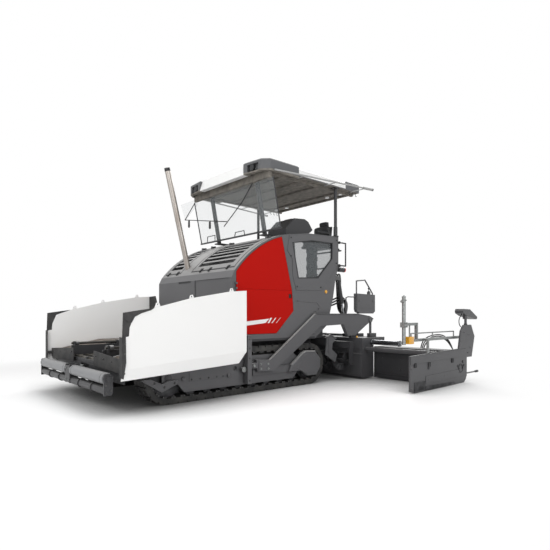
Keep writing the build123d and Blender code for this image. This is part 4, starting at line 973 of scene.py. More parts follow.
@dataclass
class Hopper(Assembly):
    """Wings with their rubber flaps."""

    solids: ClassVar = {WING_PAINT: "hopper_wing_*", FLAP_RUBBER: "wing_flap_*"}
    strip_face: float = 1.607
    strip_y: float = -3.220
    floor_x: tuple[Flat, ...] = ((0.757, 1.158), (1.162, 1.572))
    floor_line: Outline = ((-3.146, 0.6608), (-2.330, 0.826), (-1.306, 0.826))
    liner_depth: float = 0.003
    flap: Outline = ((-3.222, 1.314), (-3.020, 1.345), (-2.815, 1.3735), (-2.860, 1.345),
                     (-2.985, 1.308), (-3.078, 1.262), (-3.118, 1.190), (-3.160, 1.190),
                     (-3.222, 1.250))
    bulkhead: Outline = ((1.573, 1.646), (1.316, 1.655), (1.216, 1.446), (1.020, 1.130),
                         (0.860, 0.930), (0.860, 0.866), (1.573, 0.866))
    sleeve_y: Flat = (0.021, 0.075)

    def liner(self, side: Side) -> Piece:
        """Wear plates laid on the wing's floor, scoured brown by the hot mix."""
        shape = Shape(side)
        for (ay, az), (by, bz) in zip(self.floor_line, self.floor_line[1:]):
            for near, far in self.floor_x:
                shape.prism([(near, ay, az), (far, ay, az), (far, by, bz), (near, by, bz)],
                            (0.0, 0.0, self.liner_depth))
        return shape.piece("wing_liner", LINER_STEEL, "wing")

    def rubber(self, side: Side) -> Piece:
        """Rubber sheets: over the wall's front top corner and across its rear end."""
        sheet = Shape(side).plate(1.5952, self.flap, 0.006)
        sheet.prism([(x, -1.303, z) for x, z in self.bulkhead], (0.0, 0.010, 0.0))
        return sheet.piece("wing_rubber", FLAP_RUBBER, "wing")

    def build(self, side: Side) -> Iterator[Piece]:
        """See Assembly.build."""
        strip = [(self.strip_face, self.strip_y + shift, z)
                 for shift, z in ((0.0, 0.56), (0.01, 0.68), (0.01, 0.80), (0.01, 0.93))]
        yield Shape(side).bolts(strip, OUT, 0.020).piece("wing_strip_bolts", BOLT_STEEL, "wing")
        floor_edge = [(x, -3.162, z)
                      for x, z in ((0.52, 0.70), (0.80, 0.68), (1.08, 0.66), (1.36, 0.64))]
        yield Shape(side).bolts(floor_edge, FRONT, 0.020).piece("wing_apron_bolts", BOLT_STEEL,
                                                                "wing")
        yield self.liner(side)
        yield self.rubber(side)
        sleeves = Shape(side)
        low, high = self.sleeve_y
        for y in (-3.06, -2.35, -1.36):
            sleeves.turned((WING_PAINT.hinge_x, y + low, WING_PAINT.hinge_z), REAR,
                           ((0.0, 0.034), (0.004, 0.036), (high - low - 0.004, 0.036),
                            (high - low, 0.034)))
        yield sleeves.piece("wing_hinge_sleeves", GREY_PAINT, "wing")


@dataclass
class PushBeam(Assembly):
    """Push rollers on their swivelling beam."""

    solids: ClassVar = {DARK_PAINT: "push_beam", ROLLER_STEEL: "push_roller_*"}
    roller_y: float = -3.325
    roller_z: float = 0.480
    ring_places: tuple[Flat, ...] = ((0.110, -1.0), (1.340, 1.0))

    def build(self, side: Side) -> Iterator[Piece]:
        """See Assembly.build."""
        seats = [(1.375, y, z) for y, z in ((-3.345, 0.300), (-3.290, 0.330), (-3.355, 0.400),
                                            (-3.285, 0.500))]
        yield Shape(side).bolts(seats, OUT, 0.020).piece("beam_end_bolts", BOLT_STEEL,
                                                         "push_beam")
        rings = Shape(side)
        for x, outward in self.ring_places:
            rings.turned((x - outward * 0.012, self.roller_y, self.roller_z),
                         (outward, 0.0, 0.0), ((0.0, 0.052), (0.0125, 0.052), (0.0135, 0.046)),
                         24)
        yield rings.piece("roller_end_rings", GREY_PAINT, "push_roller")

    def build_once(self) -> Iterator[Piece]:
        """See Assembly.build_once."""
        yoke = Shape().bolts([(0.0, -3.175, 0.500)], UP, 0.060)
        yoke.bolts([(x, -3.385, z) for x in (-0.070, 0.070) for z in (0.34, 0.50)], FRONT, 0.022)
        yield yoke.piece("yoke_bolts", ZINC, "push_beam")


@dataclass
class Body(Assembly):
    """Hood, lids, doors, side panels and windows."""

    solids: ClassVar = {GREY_PAINT: "hood side_panel_* hood_lid_*", RED_PAINT: "service_door_*",
                        GREY_GLASS: "side_windows", STAINLESS: "exhaust", WALKWAY: "deck"}
    face: float = 1.205
    surround: float = 1.212
    stripe_depth: float = 0.0012
    band: Outline = ((-1.176, 1.158), (-0.490, 1.217), (-0.574, 1.145), (-1.176, 1.088))
    slashes: tuple[Point, ...] = ((-0.427, -0.490, 0.040), (-0.328, -0.418, 0.026),
                                  (-0.224, -0.326, 0.014))
    window: Outline = ((0.053, 2.572), (0.558, 2.661), (1.139, 2.672), (1.127, 2.359),
                       (0.725, 1.969), (0.197, 1.941))
    window_bolts: Outline = ((0.02, 2.655), (1.255, 2.74), (1.255, 2.29), (0.80, 1.80),
                             (0.17, 1.79), (0.02, 2.33))
    panel_bolts: Outline = ((0.08, 0.93), (0.60, 0.93), (0.90, 1.10), (0.74, 1.40), (0.20, 1.54))
    lining: Outline = ((-1.150, 1.005), (-0.345, 1.005), (-0.300, 1.050), (0.035, 1.365),
                       (0.005, 1.700), (-0.235, 2.585), (-0.500, 2.490), (-0.760, 2.330),
                       (-0.960, 2.165), (-1.150, 1.960))
    hood_arc: Outline = ((-1.222, 2.000), (-0.775, 2.414), (-0.205, 2.678))
    lid_y: Flat = (-1.174, -0.378)
    lid_outer: float = 1.130
    trim_steps: int = 11
    latch_y: float = -1.150
    pipe_foot: Point = (-0.45, -1.064, 2.095)
    pipe_tip: Point = (-0.45, -1.517, 3.955)

    def stripes(self, side: Side) -> Piece:
        """White film on the door: a long band that ends in three slashes."""
        face = self.face + 0.0002
        film = Shape(side).plate(face, self.band, self.stripe_depth)
        for top, foot, width in self.slashes:
            film.plate(face, ((top - width, 1.2305), (top, 1.2325), (foot, 1.1425),
                              (foot - width, 1.1400)), self.stripe_depth)
        return film.piece("door_stripes", WHITE_FILM, "door")

    def latch(self, side: Side) -> Piece:
        """Folding paddle in the door's latch pocket, with its lock barrel."""
        back = self.face - 0.013
        shape = Shape(side).plate(back, ((-0.026, 1.580), (0.036, 1.580), (0.036, 1.645),
                                         (-0.026, 1.645)), 0.002)
        low, high = self.face - 0.011, self.face - 0.009
        shape.prism(((low, -0.018, 1.596), (low, 0.012, 1.596), (high, 0.012, 1.640),
                     (high, -0.018, 1.640)), (0.010, 0.0, 0.0))
        shape.turned((back, 0.026, 1.590), OUT, ((0.0, 0.007), (0.010, 0.007), (0.012, 0.005)),
                     14)
        return shape.piece("door_latch", BLACK_PLASTIC, "door")

    def window_seal(self, side: Side) -> Piece:
        """Rubber profile pressed round the window opening."""
        middle = Vector((sum(y for y, _ in self.window), sum(z for _, z in self.window)))
        middle /= len(self.window)
        rays = [(Vector(corner), (Vector(corner) - middle).normalized())
                for corner in self.window]
        outer = [corner + away * 0.004 for corner, away in rays]
        inner = [corner - away * 0.020 for corner, away in rays]
        front, rear = self.surround + 0.0025, self.face - 0.018
        rows = [[on_side(side, (x, *corner)) for corner in ring]
                for x, ring in ((rear, outer), (front, outer), (front, inner), (rear, inner))]
        return Shape(side).skin(rows, joined=True).piece("window_seal", BLACK_PLASTIC)

    def hood_point(self, y: float) -> Flat:
        """Finds the hood line through its three known points.

        Args:
            y: Place along the machine.

        Returns:
            Height of the line and the angle of its normal.
        """
        (ay, az), (by, bz), (cy, cz) = self.hood_arc
        d = 2 * (ay * (bz - cz) + by * (cz - az) + cy * (az - bz))
        a, b, c = ay * ay + az * az, by * by + bz * bz, cy * cy + cz * cz
        centre_y = (a * (bz - cz) + b * (cz - az) + c * (az - bz)) / d
        centre_z = (a * (cy - by) + b * (ay - cy) + c * (by - ay)) / d
        radius = math.hypot(ay - centre_y, az - centre_z)
        rise = math.sqrt(radius ** 2 - (y - centre_y) ** 2)
        return centre_z + rise, math.atan2(rise, y - centre_y)

    def lid_trim(self, side: Side) -> Piece:
        """Rubber edge trim clipped round a hood lid."""
        inner = -0.170 if side is Side.LEFT else 0.550
        outer = self.lid_outer

        def section(x: float, y: float, width: float, length: float) -> list[Vector]:
            """Corners of the trim across the hood line, at a place and with a size."""
            corners = []
            for dx, dy, rise in ((0.0, 0.0, -0.002), (width, length, -0.002),
                                 (width, length, 0.002), (0.0, 0.0, 0.002)):
                height, angle = self.hood_point(y + dy)
                corners.append(on_side(side, (x + dx, y + dy + math.cos(angle) * rise,
                                              height + math.sin(angle) * rise)))
            return corners

        shape = Shape(side)
        for x in (inner + 0.001, outer - 0.013):
            shape.skin([section(x, self.lid_y[0] + 0.080 * at, 0.012, 0.0)
                        for at in range(self.trim_steps)])
        for y in (self.lid_y[0], self.lid_y[1]):
            shape.skin([section(x, y, 0.0, 0.012) for x in (inner + 0.014, outer - 0.014)])
        return shape.piece("lid_trim", BLACK_PLASTIC, "lid")

    def lid_latches(self, side: Side) -> Piece:
        """Over-centre latches on a lid's front edge, with a finger loop each."""
        height, angle = self.hood_point(self.latch_y)
        along = Vector((0.0, math.sin(angle), -math.cos(angle)))
        up = Vector((0.0, math.cos(angle), math.sin(angle)))
        shape = Shape(side)
        for x in (0.15, 0.42, 0.95) if side is Side.LEFT else (1.0, 0.66):
            seat = Vector((x, self.latch_y, height)) - up * 0.001
            for shift, wide, rise in ((0.0, 0.030, 0.012), (0.055, 0.020, 0.022)):
                base = seat - along * shift
                shape.prism([base + Vector((dx, 0.0, 0.0)) + along * dy
                             for dx, dy in ((-wide, -0.018), (wide, -0.018), (wide, 0.018),
                                            (-wide, 0.018))], up * rise)
        return shape.piece("lid_latches", BLACK_PLASTIC, "lid")

    def build(self, side: Side) -> Iterator[Piece]:
        """See Assembly.build."""
        yield self.stripes(side)
        yield self.latch(side)
        yield self.window_seal(side)
        yield Shape(side).plate(1.1645, self.lining, -0.008).piece("door_lining", FLAP_RUBBER,
                                                                   "door")
        yield self.lid_trim(side)
        yield self.lid_latches(side)
        corners = [(self.surround, y, z) for y, z in self.window_bolts]
        yield Shape(side).bolts(corners, OUT, 0.020).piece("window_frame_bolts", BLACK_PLASTIC)
        yield Shape(side).turned((self.face, 0.953, 1.722), OUT,
                                 ((0.0, 0.034), (0.006, 0.034), (0.010, 0.026))
                                 ).piece("side_marker", AMBER_LENS)
        lower = [(self.face, y, z) for y, z in self.panel_bolts]
        yield Shape(side).bolts(lower, OUT, 0.022).piece("panel_bolts", GREY_PAINT)

    def build_once(self) -> Iterator[Piece]:
        """See Assembly.build_once."""
        yield Shape().box((-0.436, -1.2745, 1.853), (-0.024, -1.2245, 1.881)).piece(
            "hand_slot_liner", BLACK_PLASTIC)
        base, tip = Vector(self.pipe_foot), Vector(self.pipe_tip)
        up = (tip - base).normalized()
        clamps = Shape()
        for share, wide in ((0.105, 0.0545), (0.125, 0.0545), (0.50, 0.0525)):
            clamps.turned(base + (tip - base) * share, up,
                          ((0.0, 0.0504), (0.0, wide), (0.016, wide), (0.016, 0.0504)), 28)
        yield clamps.piece("exhaust_clamps", STAINLESS)
        soot = Shape()
        soot.turned(tip - up * 0.40, up,
                    ((0.0, 0.0437), (0.392, 0.0437), (0.392, 0.0410), (0.0, 0.0410)), 28)
        soot.turned(tip - up * 0.060, up,
                    ((0.0, 0.0503), (0.0, 0.0515), (0.058, 0.0515), (0.058, 0.0503)), 28)
        yield soot.piece("exhaust_soot_lining", BLACK_IRON)


@dataclass
class Cushion:
    """A crowned foam pad with pulled-in sides, piping and sewn channels."""

    name: str
    centre: Point
    half: Point
    tilt: float = 0.0
    crown: float = 0.028
    pull: float = 0.016
    channels: int = 2
    corner_cut: float = 0.97
    welts: int = 48

    def surface(self, u: float, v: float, w: float) -> Vector:
        """Shapes the pad before it is tilted.

        Args:
            u: Place across it, from -1 to 1.
            v: Place along it, from -1 to 1.
            w: Place through it, from -1 to 1.

        Returns:
            The point of the pad's skin.
        """
        hx, hy, hz = self.half
        bulge = (1 - u * u) * (1 - v * v)
        x = hx * u * (1 - 0.10 * abs(v) ** 6) - self.pull * u * (1 - w * w)
        y = hy * v * (1 - 0.10 * abs(u) ** 6) - self.pull * v * (1 - w * w)
        z = hz * w
        if w > 0:
            z += self.crown * bulge ** 0.6
            for line in range(1, self.channels + 1):
                place = -1 + 2 * line / (self.channels + 1)
                z -= 0.010 * math.exp(-((v - place) / 0.045) ** 2) * min(1.0, 3 * (1 - abs(u)))
        return Vector((x, y, z))

    def make(self) -> Piece:
        """Builds the pad, turns it to its tilt and puts it in place."""
        shape = Shape()
        bmesh.ops.create_cube(shape.mesh, size=2.0)
        bmesh.ops.subdivide_edges(shape.mesh, edges=shape.mesh.edges, cuts=15,
                                  use_grid_fill=True)
        for vert in shape.mesh.verts:
            u, v, w = vert.co
            if max(abs(u), abs(v)) > 0.999 and abs(w) > 0.999:
                u, v = u * self.corner_cut, v * self.corner_cut
            vert.co = self.surface(u, v, w)
        turn = Matrix.Rotation(self.tilt, 4, "X")
        shift = Matrix.Translation(Vector(self.centre))
        bmesh.ops.transform(shape.mesh, matrix=shift @ turn, verts=shape.mesh.verts)
        piece = shape.piece(self.name, VINYL, smooth_angle=80.0)
        return piece

    def piping(self) -> Piece:
        """Welt cord sewn round the pad's upper edge."""
        turn = Matrix.Rotation(self.tilt, 4, "X")
        points = []
        for at in range(self.welts + 1):
            angle = math.tau * at / self.welts
            u, v = math.cos(angle), math.sin(angle)
            reach = 1 / max(abs(u), abs(v))
            place = self.surface(u * reach * 0.985, v * reach * 0.985, 0.93)
            points.append(turn @ place + Vector(self.centre))
        return tube(self.name + "_piping", points, 0.0045, VINYL)


@dataclass
class OperatorPlace(Assembly):
    """Seats, console, canopy, windscreen and handrails."""

    solids: ClassVar = {DARK_PAINT: "console canopy_posts windscreen_frame rear_handrails",
                        ROOF_TRIM: "roof_frame", LIGHT_PAINT: "awnings", WHITE_PAINT: "roof",
                        CLEAR_GLASS: "windscreen", CLEAR_LENS: "work_lamps"}
    seat_x: float = 0.790
    arm_x: Flat = (-0.228, 0.228)
    bellows: int = 8
    bellows_z: float = 1.925
    fold: float = 0.084
    hook_y: tuple[float, ...] = (1.66, 1.76, 1.86)
    pane_y: float = -0.352

    def seat_shell(self, side: Side) -> Piece:
        """A seat's shell, arm posts and sprung base inside its bellows."""
        x = self.seat_x
        shape = Shape(side)
        shape.prism(((x - 0.185, 1.372, 2.760), (x - 0.185, 1.408, 3.055),
                     (x - 0.185, 1.380, 3.055), (x - 0.185, 1.350, 2.760)), (0.370, 0.0, 0.0))
        shape.box((x - 0.190, 0.900, 2.600), (x + 0.190, 1.370, 2.640))
        shape.box((x - 0.110, 0.930, 1.900), (x + 0.110, 1.060, 1.925))
        for level in range(self.bellows):
            low = self.bellows_z + self.fold * level
            half = 0.098 if level % 2 else 0.088
            shape.box((x - half, 1.000 - half * 0.62, low),
                      (x + half, 1.000 + half * 0.62, low + self.fold + MM / 2))
        for post in (-0.030, 0.030):
            shape.turned((x + post, 1.385, 3.050), (0.0, -0.05, 1.0),
                         ((0.0, 0.006), (0.050, 0.006)), 10)
        for arm in self.arm_x:
            shape.box((x + arm - 0.014, 1.240, 2.600), (x + arm + 0.014, 1.300, 2.885))
        return shape.piece("seat_shell", BLACK_PLASTIC, slot="seat_cover")

    def seat(self, side: Side) -> Iterator[Piece]:
        """One seat: pads, shell, arm rests and its sprung base."""
        x = side.value * self.seat_x
        pads = (Cushion(f"seat_cushion_{side.tag}", (x, 1.110, 2.690), (0.205, 0.220, 0.046)),
                Cushion(f"seat_back_{side.tag}", (x, 1.322, 2.900), (0.195, 0.165, 0.036),
                        tilt=math.radians(98), crown=0.022),
                Cushion(f"seat_head_{side.tag}", (x, 1.366, 3.112), (0.105, 0.052, 0.024),
                        tilt=math.radians(96), channels=0, crown=0.010))
        for pad in pads:
            yield pad.make()
            yield pad.piping()
        yield self.seat_shell(side)
        for arm in self.arm_x:
            word = "inner" if arm * side.value < 0 else "outer"
            yield Cushion(f"arm_rest_{side.tag}_{word}", (x + arm, 1.090, 2.898),
                          (0.024, 0.185, 0.016), crown=0.004, pull=0.004, channels=0).make()

    def desk(self) -> Iterator[Piece]:
        """Screen, key pads, steering dial and drive lever in the desk's recess."""
        x = self.seat_x
        screen = Shape().prism(((x - 0.095, 0.345, 3.034), (x - 0.095, 0.378, 3.036),
                                (x - 0.095, 0.366, 3.088), (x - 0.095, 0.340, 3.088)),
                               (0.190, 0.0, 0.0))
        for near in (-0.175, 0.115):
            screen.box((x + near, 0.430, 3.038), (x + near + 0.060, 0.570, 3.058))
        yield screen.piece("desk_screen", BLACK_PLASTIC)
        yield Shape().prism(((x - 0.082, 0.3766, 3.042), (x + 0.082, 0.3766, 3.042),
                             (x + 0.082, 0.3682, 3.078), (x - 0.082, 0.3682, 3.078)),
                            (0.0, 0.0024, 0.0006)).piece("desk_screen_glass", SCREEN_GLASS)
        levers = Shape()
        levers.turned((x - 0.040, 0.490, 3.042), UP,
                      ((0.0, 0.034), (0.012, 0.034), (0.014, 0.030), (0.026, 0.030),
                       (0.030, 0.024)), 24)
        levers.turned((x + 0.065, 0.500, 3.042), (0.0, -0.12, 1.0),
                      ((0.0, 0.020), (0.008, 0.016), (0.010, 0.006), (0.022, 0.006),
                       (0.026, 0.013), (0.042, 0.014), (0.046, 0.009)), 18)
        yield levers.piece("desk_levers", BLACK_PLASTIC)

    def far_pane(self) -> Iterator[Piece]:
        """Clear side pane swung out behind the windscreen, with the wiper rods before it."""
        y = self.pane_y
        yield Shape().prism(((-1.960, y, 3.740), (-1.314, y, 3.745), (-1.277, y, 3.618),
                             (-1.770, y, 3.357)), (0.0, 0.006, 0.0)).piece("far_side_pane",
                                                                           CLEAR_GLASS)
        tip = (-1.780, -0.350, 3.374)
        runs = {"far_pane_arm": [(-1.225, -0.425, 3.665), tip],
                "wiper_rod": [tip, (-0.219, -0.352, 3.102)],
                "wiper_arm": [(0.700, -0.447, 3.645), (0.380, -0.420, 3.380),
                              (-0.300, -0.352, 3.020)]}
        for name, run in runs.items():
            yield tube(name, run, 0.009, BLACK_PLASTIC, smooth=False)
        motors = Shape()
        for x, z in ((-1.607, 3.330), (-0.798, 3.190)):
            motors.prism([(x + dx, y - 0.012, z + dz)
                          for dx, dz in ((-0.020, 0.0), (0.020, 0.0), (0.026, -0.130),
                                         (0.0, -0.155), (-0.026, -0.130))], (0.0, 0.020, 0.0))
        yield motors.piece("wiper_motors", BLACK_PLASTIC)

    def lamp_rims(self) -> Piece:
        """Black rims round the front work lamps and the rear lamps."""
        rims = Shape()
        for sign in (-1, 1):
            rims.turned((sign * 0.900, -0.590, 3.832), FRONT,
                        ((0.0, 0.047), (0.0, 0.056), (0.040, 0.056), (0.040, 0.047)), 28)
            rims.turned((sign * 1.200, 1.468, 2.172), REAR,
                        ((0.0, 0.041), (0.0, 0.047), (0.013, 0.047), (0.013, 0.041)), 28)
        return rims.piece("lamp_rims", BLACK_PLASTIC)

    def build(self, side: Side) -> Iterator[Piece]:
        """See Assembly.build."""
        for piece in self.seat(side):
            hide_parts("seats")
            yield piece
        yield Shape(side).turned((1.200, 1.482, 2.172), REAR,
                                 ((0.0, 0.0475), (0.022, 0.0475), (0.030, 0.036)), 24
                                 ).piece("tail_lamp", RED_LENS)
        yield Shape(side).turned((1.5985, 1.880, 3.764), (0.148, 1.0, 0.0),
                                 ((0.0, 0.0255), (0.020, 0.0255), (0.026, 0.018)), 24
                                 ).piece("awning_caps", BLACK_PLASTIC)
        for at, y in enumerate(self.hook_y):
            hook = [(1.20, y, 3.775), (1.20, y, 3.715), (1.20, y + 0.02, 3.695),
                    (1.20, y + 0.04, 3.712)]
            yield tube(f"roof_hook_{side.tag}_{at + 1}", hook, 0.005, BLACK_PLASTIC, side=side)

    def build_once(self) -> Iterator[Piece]:
        """See Assembly.build_once."""
        yield self.lamp_rims()
        yield from self.desk()
        yield from self.far_pane()


@dataclass
class Screed(Assembly):
    """Tow arms, screed, extensions, end gates, sensors and augers."""

    solids: ClassVar = {
        GREY_PAINT: "tow_arms arm_consoles spill_guards",
        MID_PAINT: "screed end_gate_* gate_console_*",
        DARK_PAINT: "auger_carrier lift_barrel_* extension_*",
        BLACK_IRON: "auger_*", CHROME: "guide_tubes lift_rod_*", ZINC: "sensor_mast_*"}
    arm_face: float = 1.288
    door_face: float = 1.300
    gate_face: float = 3.030
    tube_end: float = 2.170
    mast_x: float = 2.900
    mast_y: float = 0.950
    arm_hose_x: Flat = (1.190, 1.165)
    hose_lags: tuple[float, ...] = (0.0, 0.03, 0.06)
    gate_strip: Outline = ((1.02, 0.54), (1.62, 0.555), (2.20, 0.57), (2.78, 0.585),
                           (1.50, 0.19), (2.05, 0.20), (2.60, 0.21))
    gate_plate: Outline = ((0.965, 0.08), (0.965, 0.40), (2.66, 0.80), (2.95, 0.56),
                           (3.05, 0.66), (2.98, 0.90), (2.80, 0.95))
    gate_pin_places: Outline = ((2.560, 0.330), (2.750, 0.400), (2.790, 0.330), (1.500, 0.380))
    gate_blocks: Outline = ((1.075, 0.450), (1.520, 0.432), (2.340, 0.442))
    console_x: float = 2.955

    def arm_fittings(self, side: Side) -> Iterator[Piece]:
        """Bolted pad, boss bolts, console door, joystick and hoses of one tow arm."""
        pad = [(self.arm_face, y, z) for y, z in ((-0.747, 0.465), (-0.585, 0.462),
                                                  (-0.747, 0.392), (-0.585, 0.385))]
        yield Shape(side).bolts(pad, OUT, 0.030).piece("arm_pad_bolts", ZINC, "screed")
        ring = around((1.290, 2.270, 1.180), 0.042, 6, 6)
        yield Shape(side).bolts(ring, OUT, 0.020).piece("arm_boss_bolts", ZINC, "screed")
        door = Shape(side).plate(self.door_face, ((1.800, 1.420), (2.380, 1.420),
                                                  (2.380, 1.680), (1.800, 1.690)), 0.003)
        for y in (1.86, 2.32):
            door.box((self.door_face, y - 0.010, 1.545), (self.door_face + 0.010, y + 0.010, 1.585))
        yield door.piece("console_door", GREY_PAINT, "screed")
        yield Shape(side).turned((1.262, 2.230, 1.760), UP,
                                 ((0.0, 0.026), (0.012, 0.022), (0.016, 0.008), (0.050, 0.008),
                                  (0.056, 0.018), (0.078, 0.020), (0.084, 0.012)), 18
                                 ).piece("console_knob", BLACK_PLASTIC, "screed")
        for at, x in enumerate(self.arm_hose_x):
            run = [(x, 1.95, 0.88), (x, 1.88, 1.02), (x, 1.74, 1.08), (x, 1.60, 1.02),
                   (x, 1.66, 0.90), (x, 1.74, 0.82)]
            yield tube(f"arm_hose_{side.tag}_{at + 1}", run, 0.012, HOSE, "screed", side)

    def screed_fittings(self, side: Side) -> Iterator[Piece]:
        """Front-wall bolts, deck box lids, tube end bolts and the corner marker."""
        wall = [(x, 1.684, z) for x in (0.20, 0.55, 0.90, 1.22) for z in (0.15, 0.42)]
        yield Shape(side).bolts(wall, FRONT, 0.018).piece("screed_wall_bolts", BOLT_STEEL,
                                                          "screed")
        end = around((self.tube_end, 2.006, 0.728), 0.038, 6, 6)
        yield Shape(side).bolts(end, OUT, 0.016).piece("guide_tube_bolts", ZINC, "screed")
        yield Shape(side).turned((1.340, 1.735, 0.820), UP,
                                 ((0.0, 0.020), (0.026, 0.020), (0.040, 0.012)), 16
                                 ).piece("deck_marker", AMBER_LENS, "screed")
        lids = Shape(side).box((0.785, 1.965, 0.880), (1.075, 2.295, 0.886))
        lids.box((0.065, 2.205, 0.850), (0.695, 2.415, 0.856))
        yield lids.piece("deck_box_lids", DARK_PAINT, "screed")

    def extension_fittings(self, side: Side) -> Iterator[Piece]:
        """Bolts, walkway, hoses and valve box of one extension."""
        wall = [(x, 2.100, z) for x in (1.70, 2.10, 2.50, 2.88) for z in (0.22, 0.42)]
        yield Shape(side).bolts(wall, FRONT, 0.018).piece("extension_wall_bolts", BOLT_STEEL,
                                                          "extension")
        yield Shape(side).box((1.530, 2.450, 0.330), (2.990, 2.846, 0.334)).piece(
            "step_tread", WALKWAY, "extension")
        for at, lag in enumerate(self.hose_lags):
            run = [(2.36 - lag, 2.450, 0.540), (2.36 - lag, 2.490, 0.600),
                   (2.42 - lag, 2.510, 0.760 + lag), (2.60, 2.530, 0.850 + lag),
                   (2.80, 2.530, 0.830 + lag), (2.92 + lag / 3, 2.510, 0.700),
                   (2.990, 2.490, 0.600 - lag)]
            yield tube(f"extension_hose_{side.tag}_{at + 1}", run, 0.011, HOSE, "extension",
                       side)
        box = Shape(side).box((1.95, 2.4405, 0.380), (2.15, 2.540, 0.540))
        box.box((1.96, 2.450, 0.540), (2.14, 2.530, 0.546))
        yield box.piece("extension_valve_box", DARK_PAINT, "extension")

    def gate_pins(self, side: Side) -> Piece:
        """Pins, guide blocks and wear shoes on an end gate."""
        face = self.gate_face
        shape = Shape(side)
        for y, z in self.gate_pin_places:
            shape.turned((face + 0.009, y, z), OUT,
                         ((0.0, 0.020), (0.003, 0.020), (0.0045, 0.014)), 18)
        for y, z in self.gate_blocks:
            shape.box((face, y - 0.035, z - 0.030), (face + 0.0135, y + 0.035, z + 0.045))
        shape.plate(face, ((1.392, 0.012), (2.440, 0.012), (2.400, 0.060), (1.392, 0.078)), 0.010)
        shape.plate(face, ((1.050, 0.030), (1.384, 0.030), (1.384, 0.172), (1.050, 0.172)),
                    0.0095)
        return shape.piece("gate_pins", BLACK_IRON, "extension")

    def console_screen(self, side: Side) -> Piece:
        """Dark screen and key plate on a gate console."""
        x = self.console_x
        along = Vector((0.0, 0.315, -0.147)).normalized()
        up = Vector((0.0, 0.147, 0.315)).normalized()
        start = Vector((x, 3.030, 1.385)) + up * 0.0005
        shape = Shape(side).prism([start + along * down + Vector((reach, 0.0, 0.0))
                                   for reach, down in ((-0.058, 0.020), (0.058, 0.020),
                                                       (0.058, 0.325), (-0.058, 0.325))],
                                  up * 0.003)
        shape.prism(((x - 0.060, 2.812, 1.3805), (x + 0.060, 2.812, 1.3805),
                     (x + 0.060, 2.988, 1.3745), (x - 0.060, 2.988, 1.3745)), (0.0, 0.0, 0.006))
        return shape.piece("gate_console_screen", SCREEN_GLASS, "extension")

    def gate_fittings(self, side: Side) -> Iterator[Piece]:
        """Bolts, hand ring, pins, crank grip, screen and lead of one end gate."""
        face = self.gate_face
        seats = [(face + 0.0015, y, z) for y, z in self.gate_strip]
        seats += [(face, y, z) for y, z in self.gate_plate]
        yield Shape(side).bolts(seats, OUT, 0.018).piece("gate_bolts", GREY_PAINT, "extension")
        ring = around((face + 0.006, 2.660, 0.285), 0.075, 20, 21)
        yield tube(f"gate_hand_ring_{side.tag}", ring, 0.007, BLACK_IRON, "extension", side)
        yield self.gate_pins(side)
        yield Shape(side).turned((3.015, 3.290, 0.169), REAR,
                                 ((0.0, 0.015), (0.004, 0.020), (0.055, 0.0245),
                                  (0.058, 0.0245)), 18
                                 ).piece("gate_crank_grip", BLACK_PLASTIC, "extension")
        yield self.console_screen(side)
        lead = [(2.990, 2.800, 1.300), (2.985, 2.755, 1.262), (2.985, 2.680, 1.184),
                (2.985, 2.705, 1.080), (2.990, 2.820, 1.030), (2.993, 2.880, 1.023)]
        yield tube(f"gate_console_lead_{side.tag}", lead, 0.008, HOSE, "extension", side)

    def mast_fittings(self, side: Side) -> Iterator[Piece]:
        """Clamp screws, wing knob and the amber sensor head of one mast."""
        x, y = self.mast_x, self.mast_y
        seats = [(x + 0.042, y + dy, 1.1175 + dz) for dy in (-0.028, 0.028)
                 for dz in (-0.026, 0.026)]
        yield Shape(side).bolts(seats, OUT, 0.018).piece("mast_clamp_bolts", ZINC, "extension")
        cap = Shape(side)
        cap.turned((x, y, 1.570), UP, ((0.0, 0.033), (0.010, 0.034), (0.016, 0.028),
                                       (0.020, 0.010), (0.034, 0.010)))
        cap.turned((x, y - 0.032, 1.500), FRONT, ((0.0, 0.012), (0.020, 0.012), (0.024, 0.022),
                                                  (0.040, 0.022)), 16)
        yield cap.piece("mast_cap", ZINC, "extension")
        turns = [math.tau * (turn + 0.5) / 24 for turn in range(24)]
        corners = [(x + math.copysign(0.0315, math.cos(turn)) + 0.0185 * math.cos(turn),
                    1.120 + math.copysign(0.0535, math.sin(turn)) + 0.0185 * math.sin(turn),
                    0.798) for turn in turns]
        yield Shape(side).prism(corners, (0.0, 0.0, 0.124)).piece("sensor_cover", AMBER_LENS,
                                                                  "extension")

    def build(self, side: Side) -> Iterator[Piece]:
        """See Assembly.build."""
        yield from self.arm_fittings(side)
        yield from self.screed_fittings(side)
        yield from self.extension_fittings(side)
        yield from self.gate_fittings(side)
        yield from self.mast_fittings(side)


# ---------------------------------------------------------------- studio
@dataclass(frozen=True)
class Lamp:
    """A square soft lamp: where it hangs, what it faces, its side length and its watts."""

    name: str
    place: Point
    aim: Point
    size: float
    power: float

    def hang(self) -> None:
        """Puts the lamp in the scene."""
        light = bpy.data.lights.new(self.name, "AREA")
        light.size = self.size
        light.energy = self.power
        hung = bpy.data.objects.new(self.name, light)
        hung.location = self.place
        aim = Vector(self.aim) - Vector(self.place)
        hung.rotation_euler = aim.to_track_quat("-Z", "Y").to_euler()
        bpy.context.scene.collection.objects.link(hung)


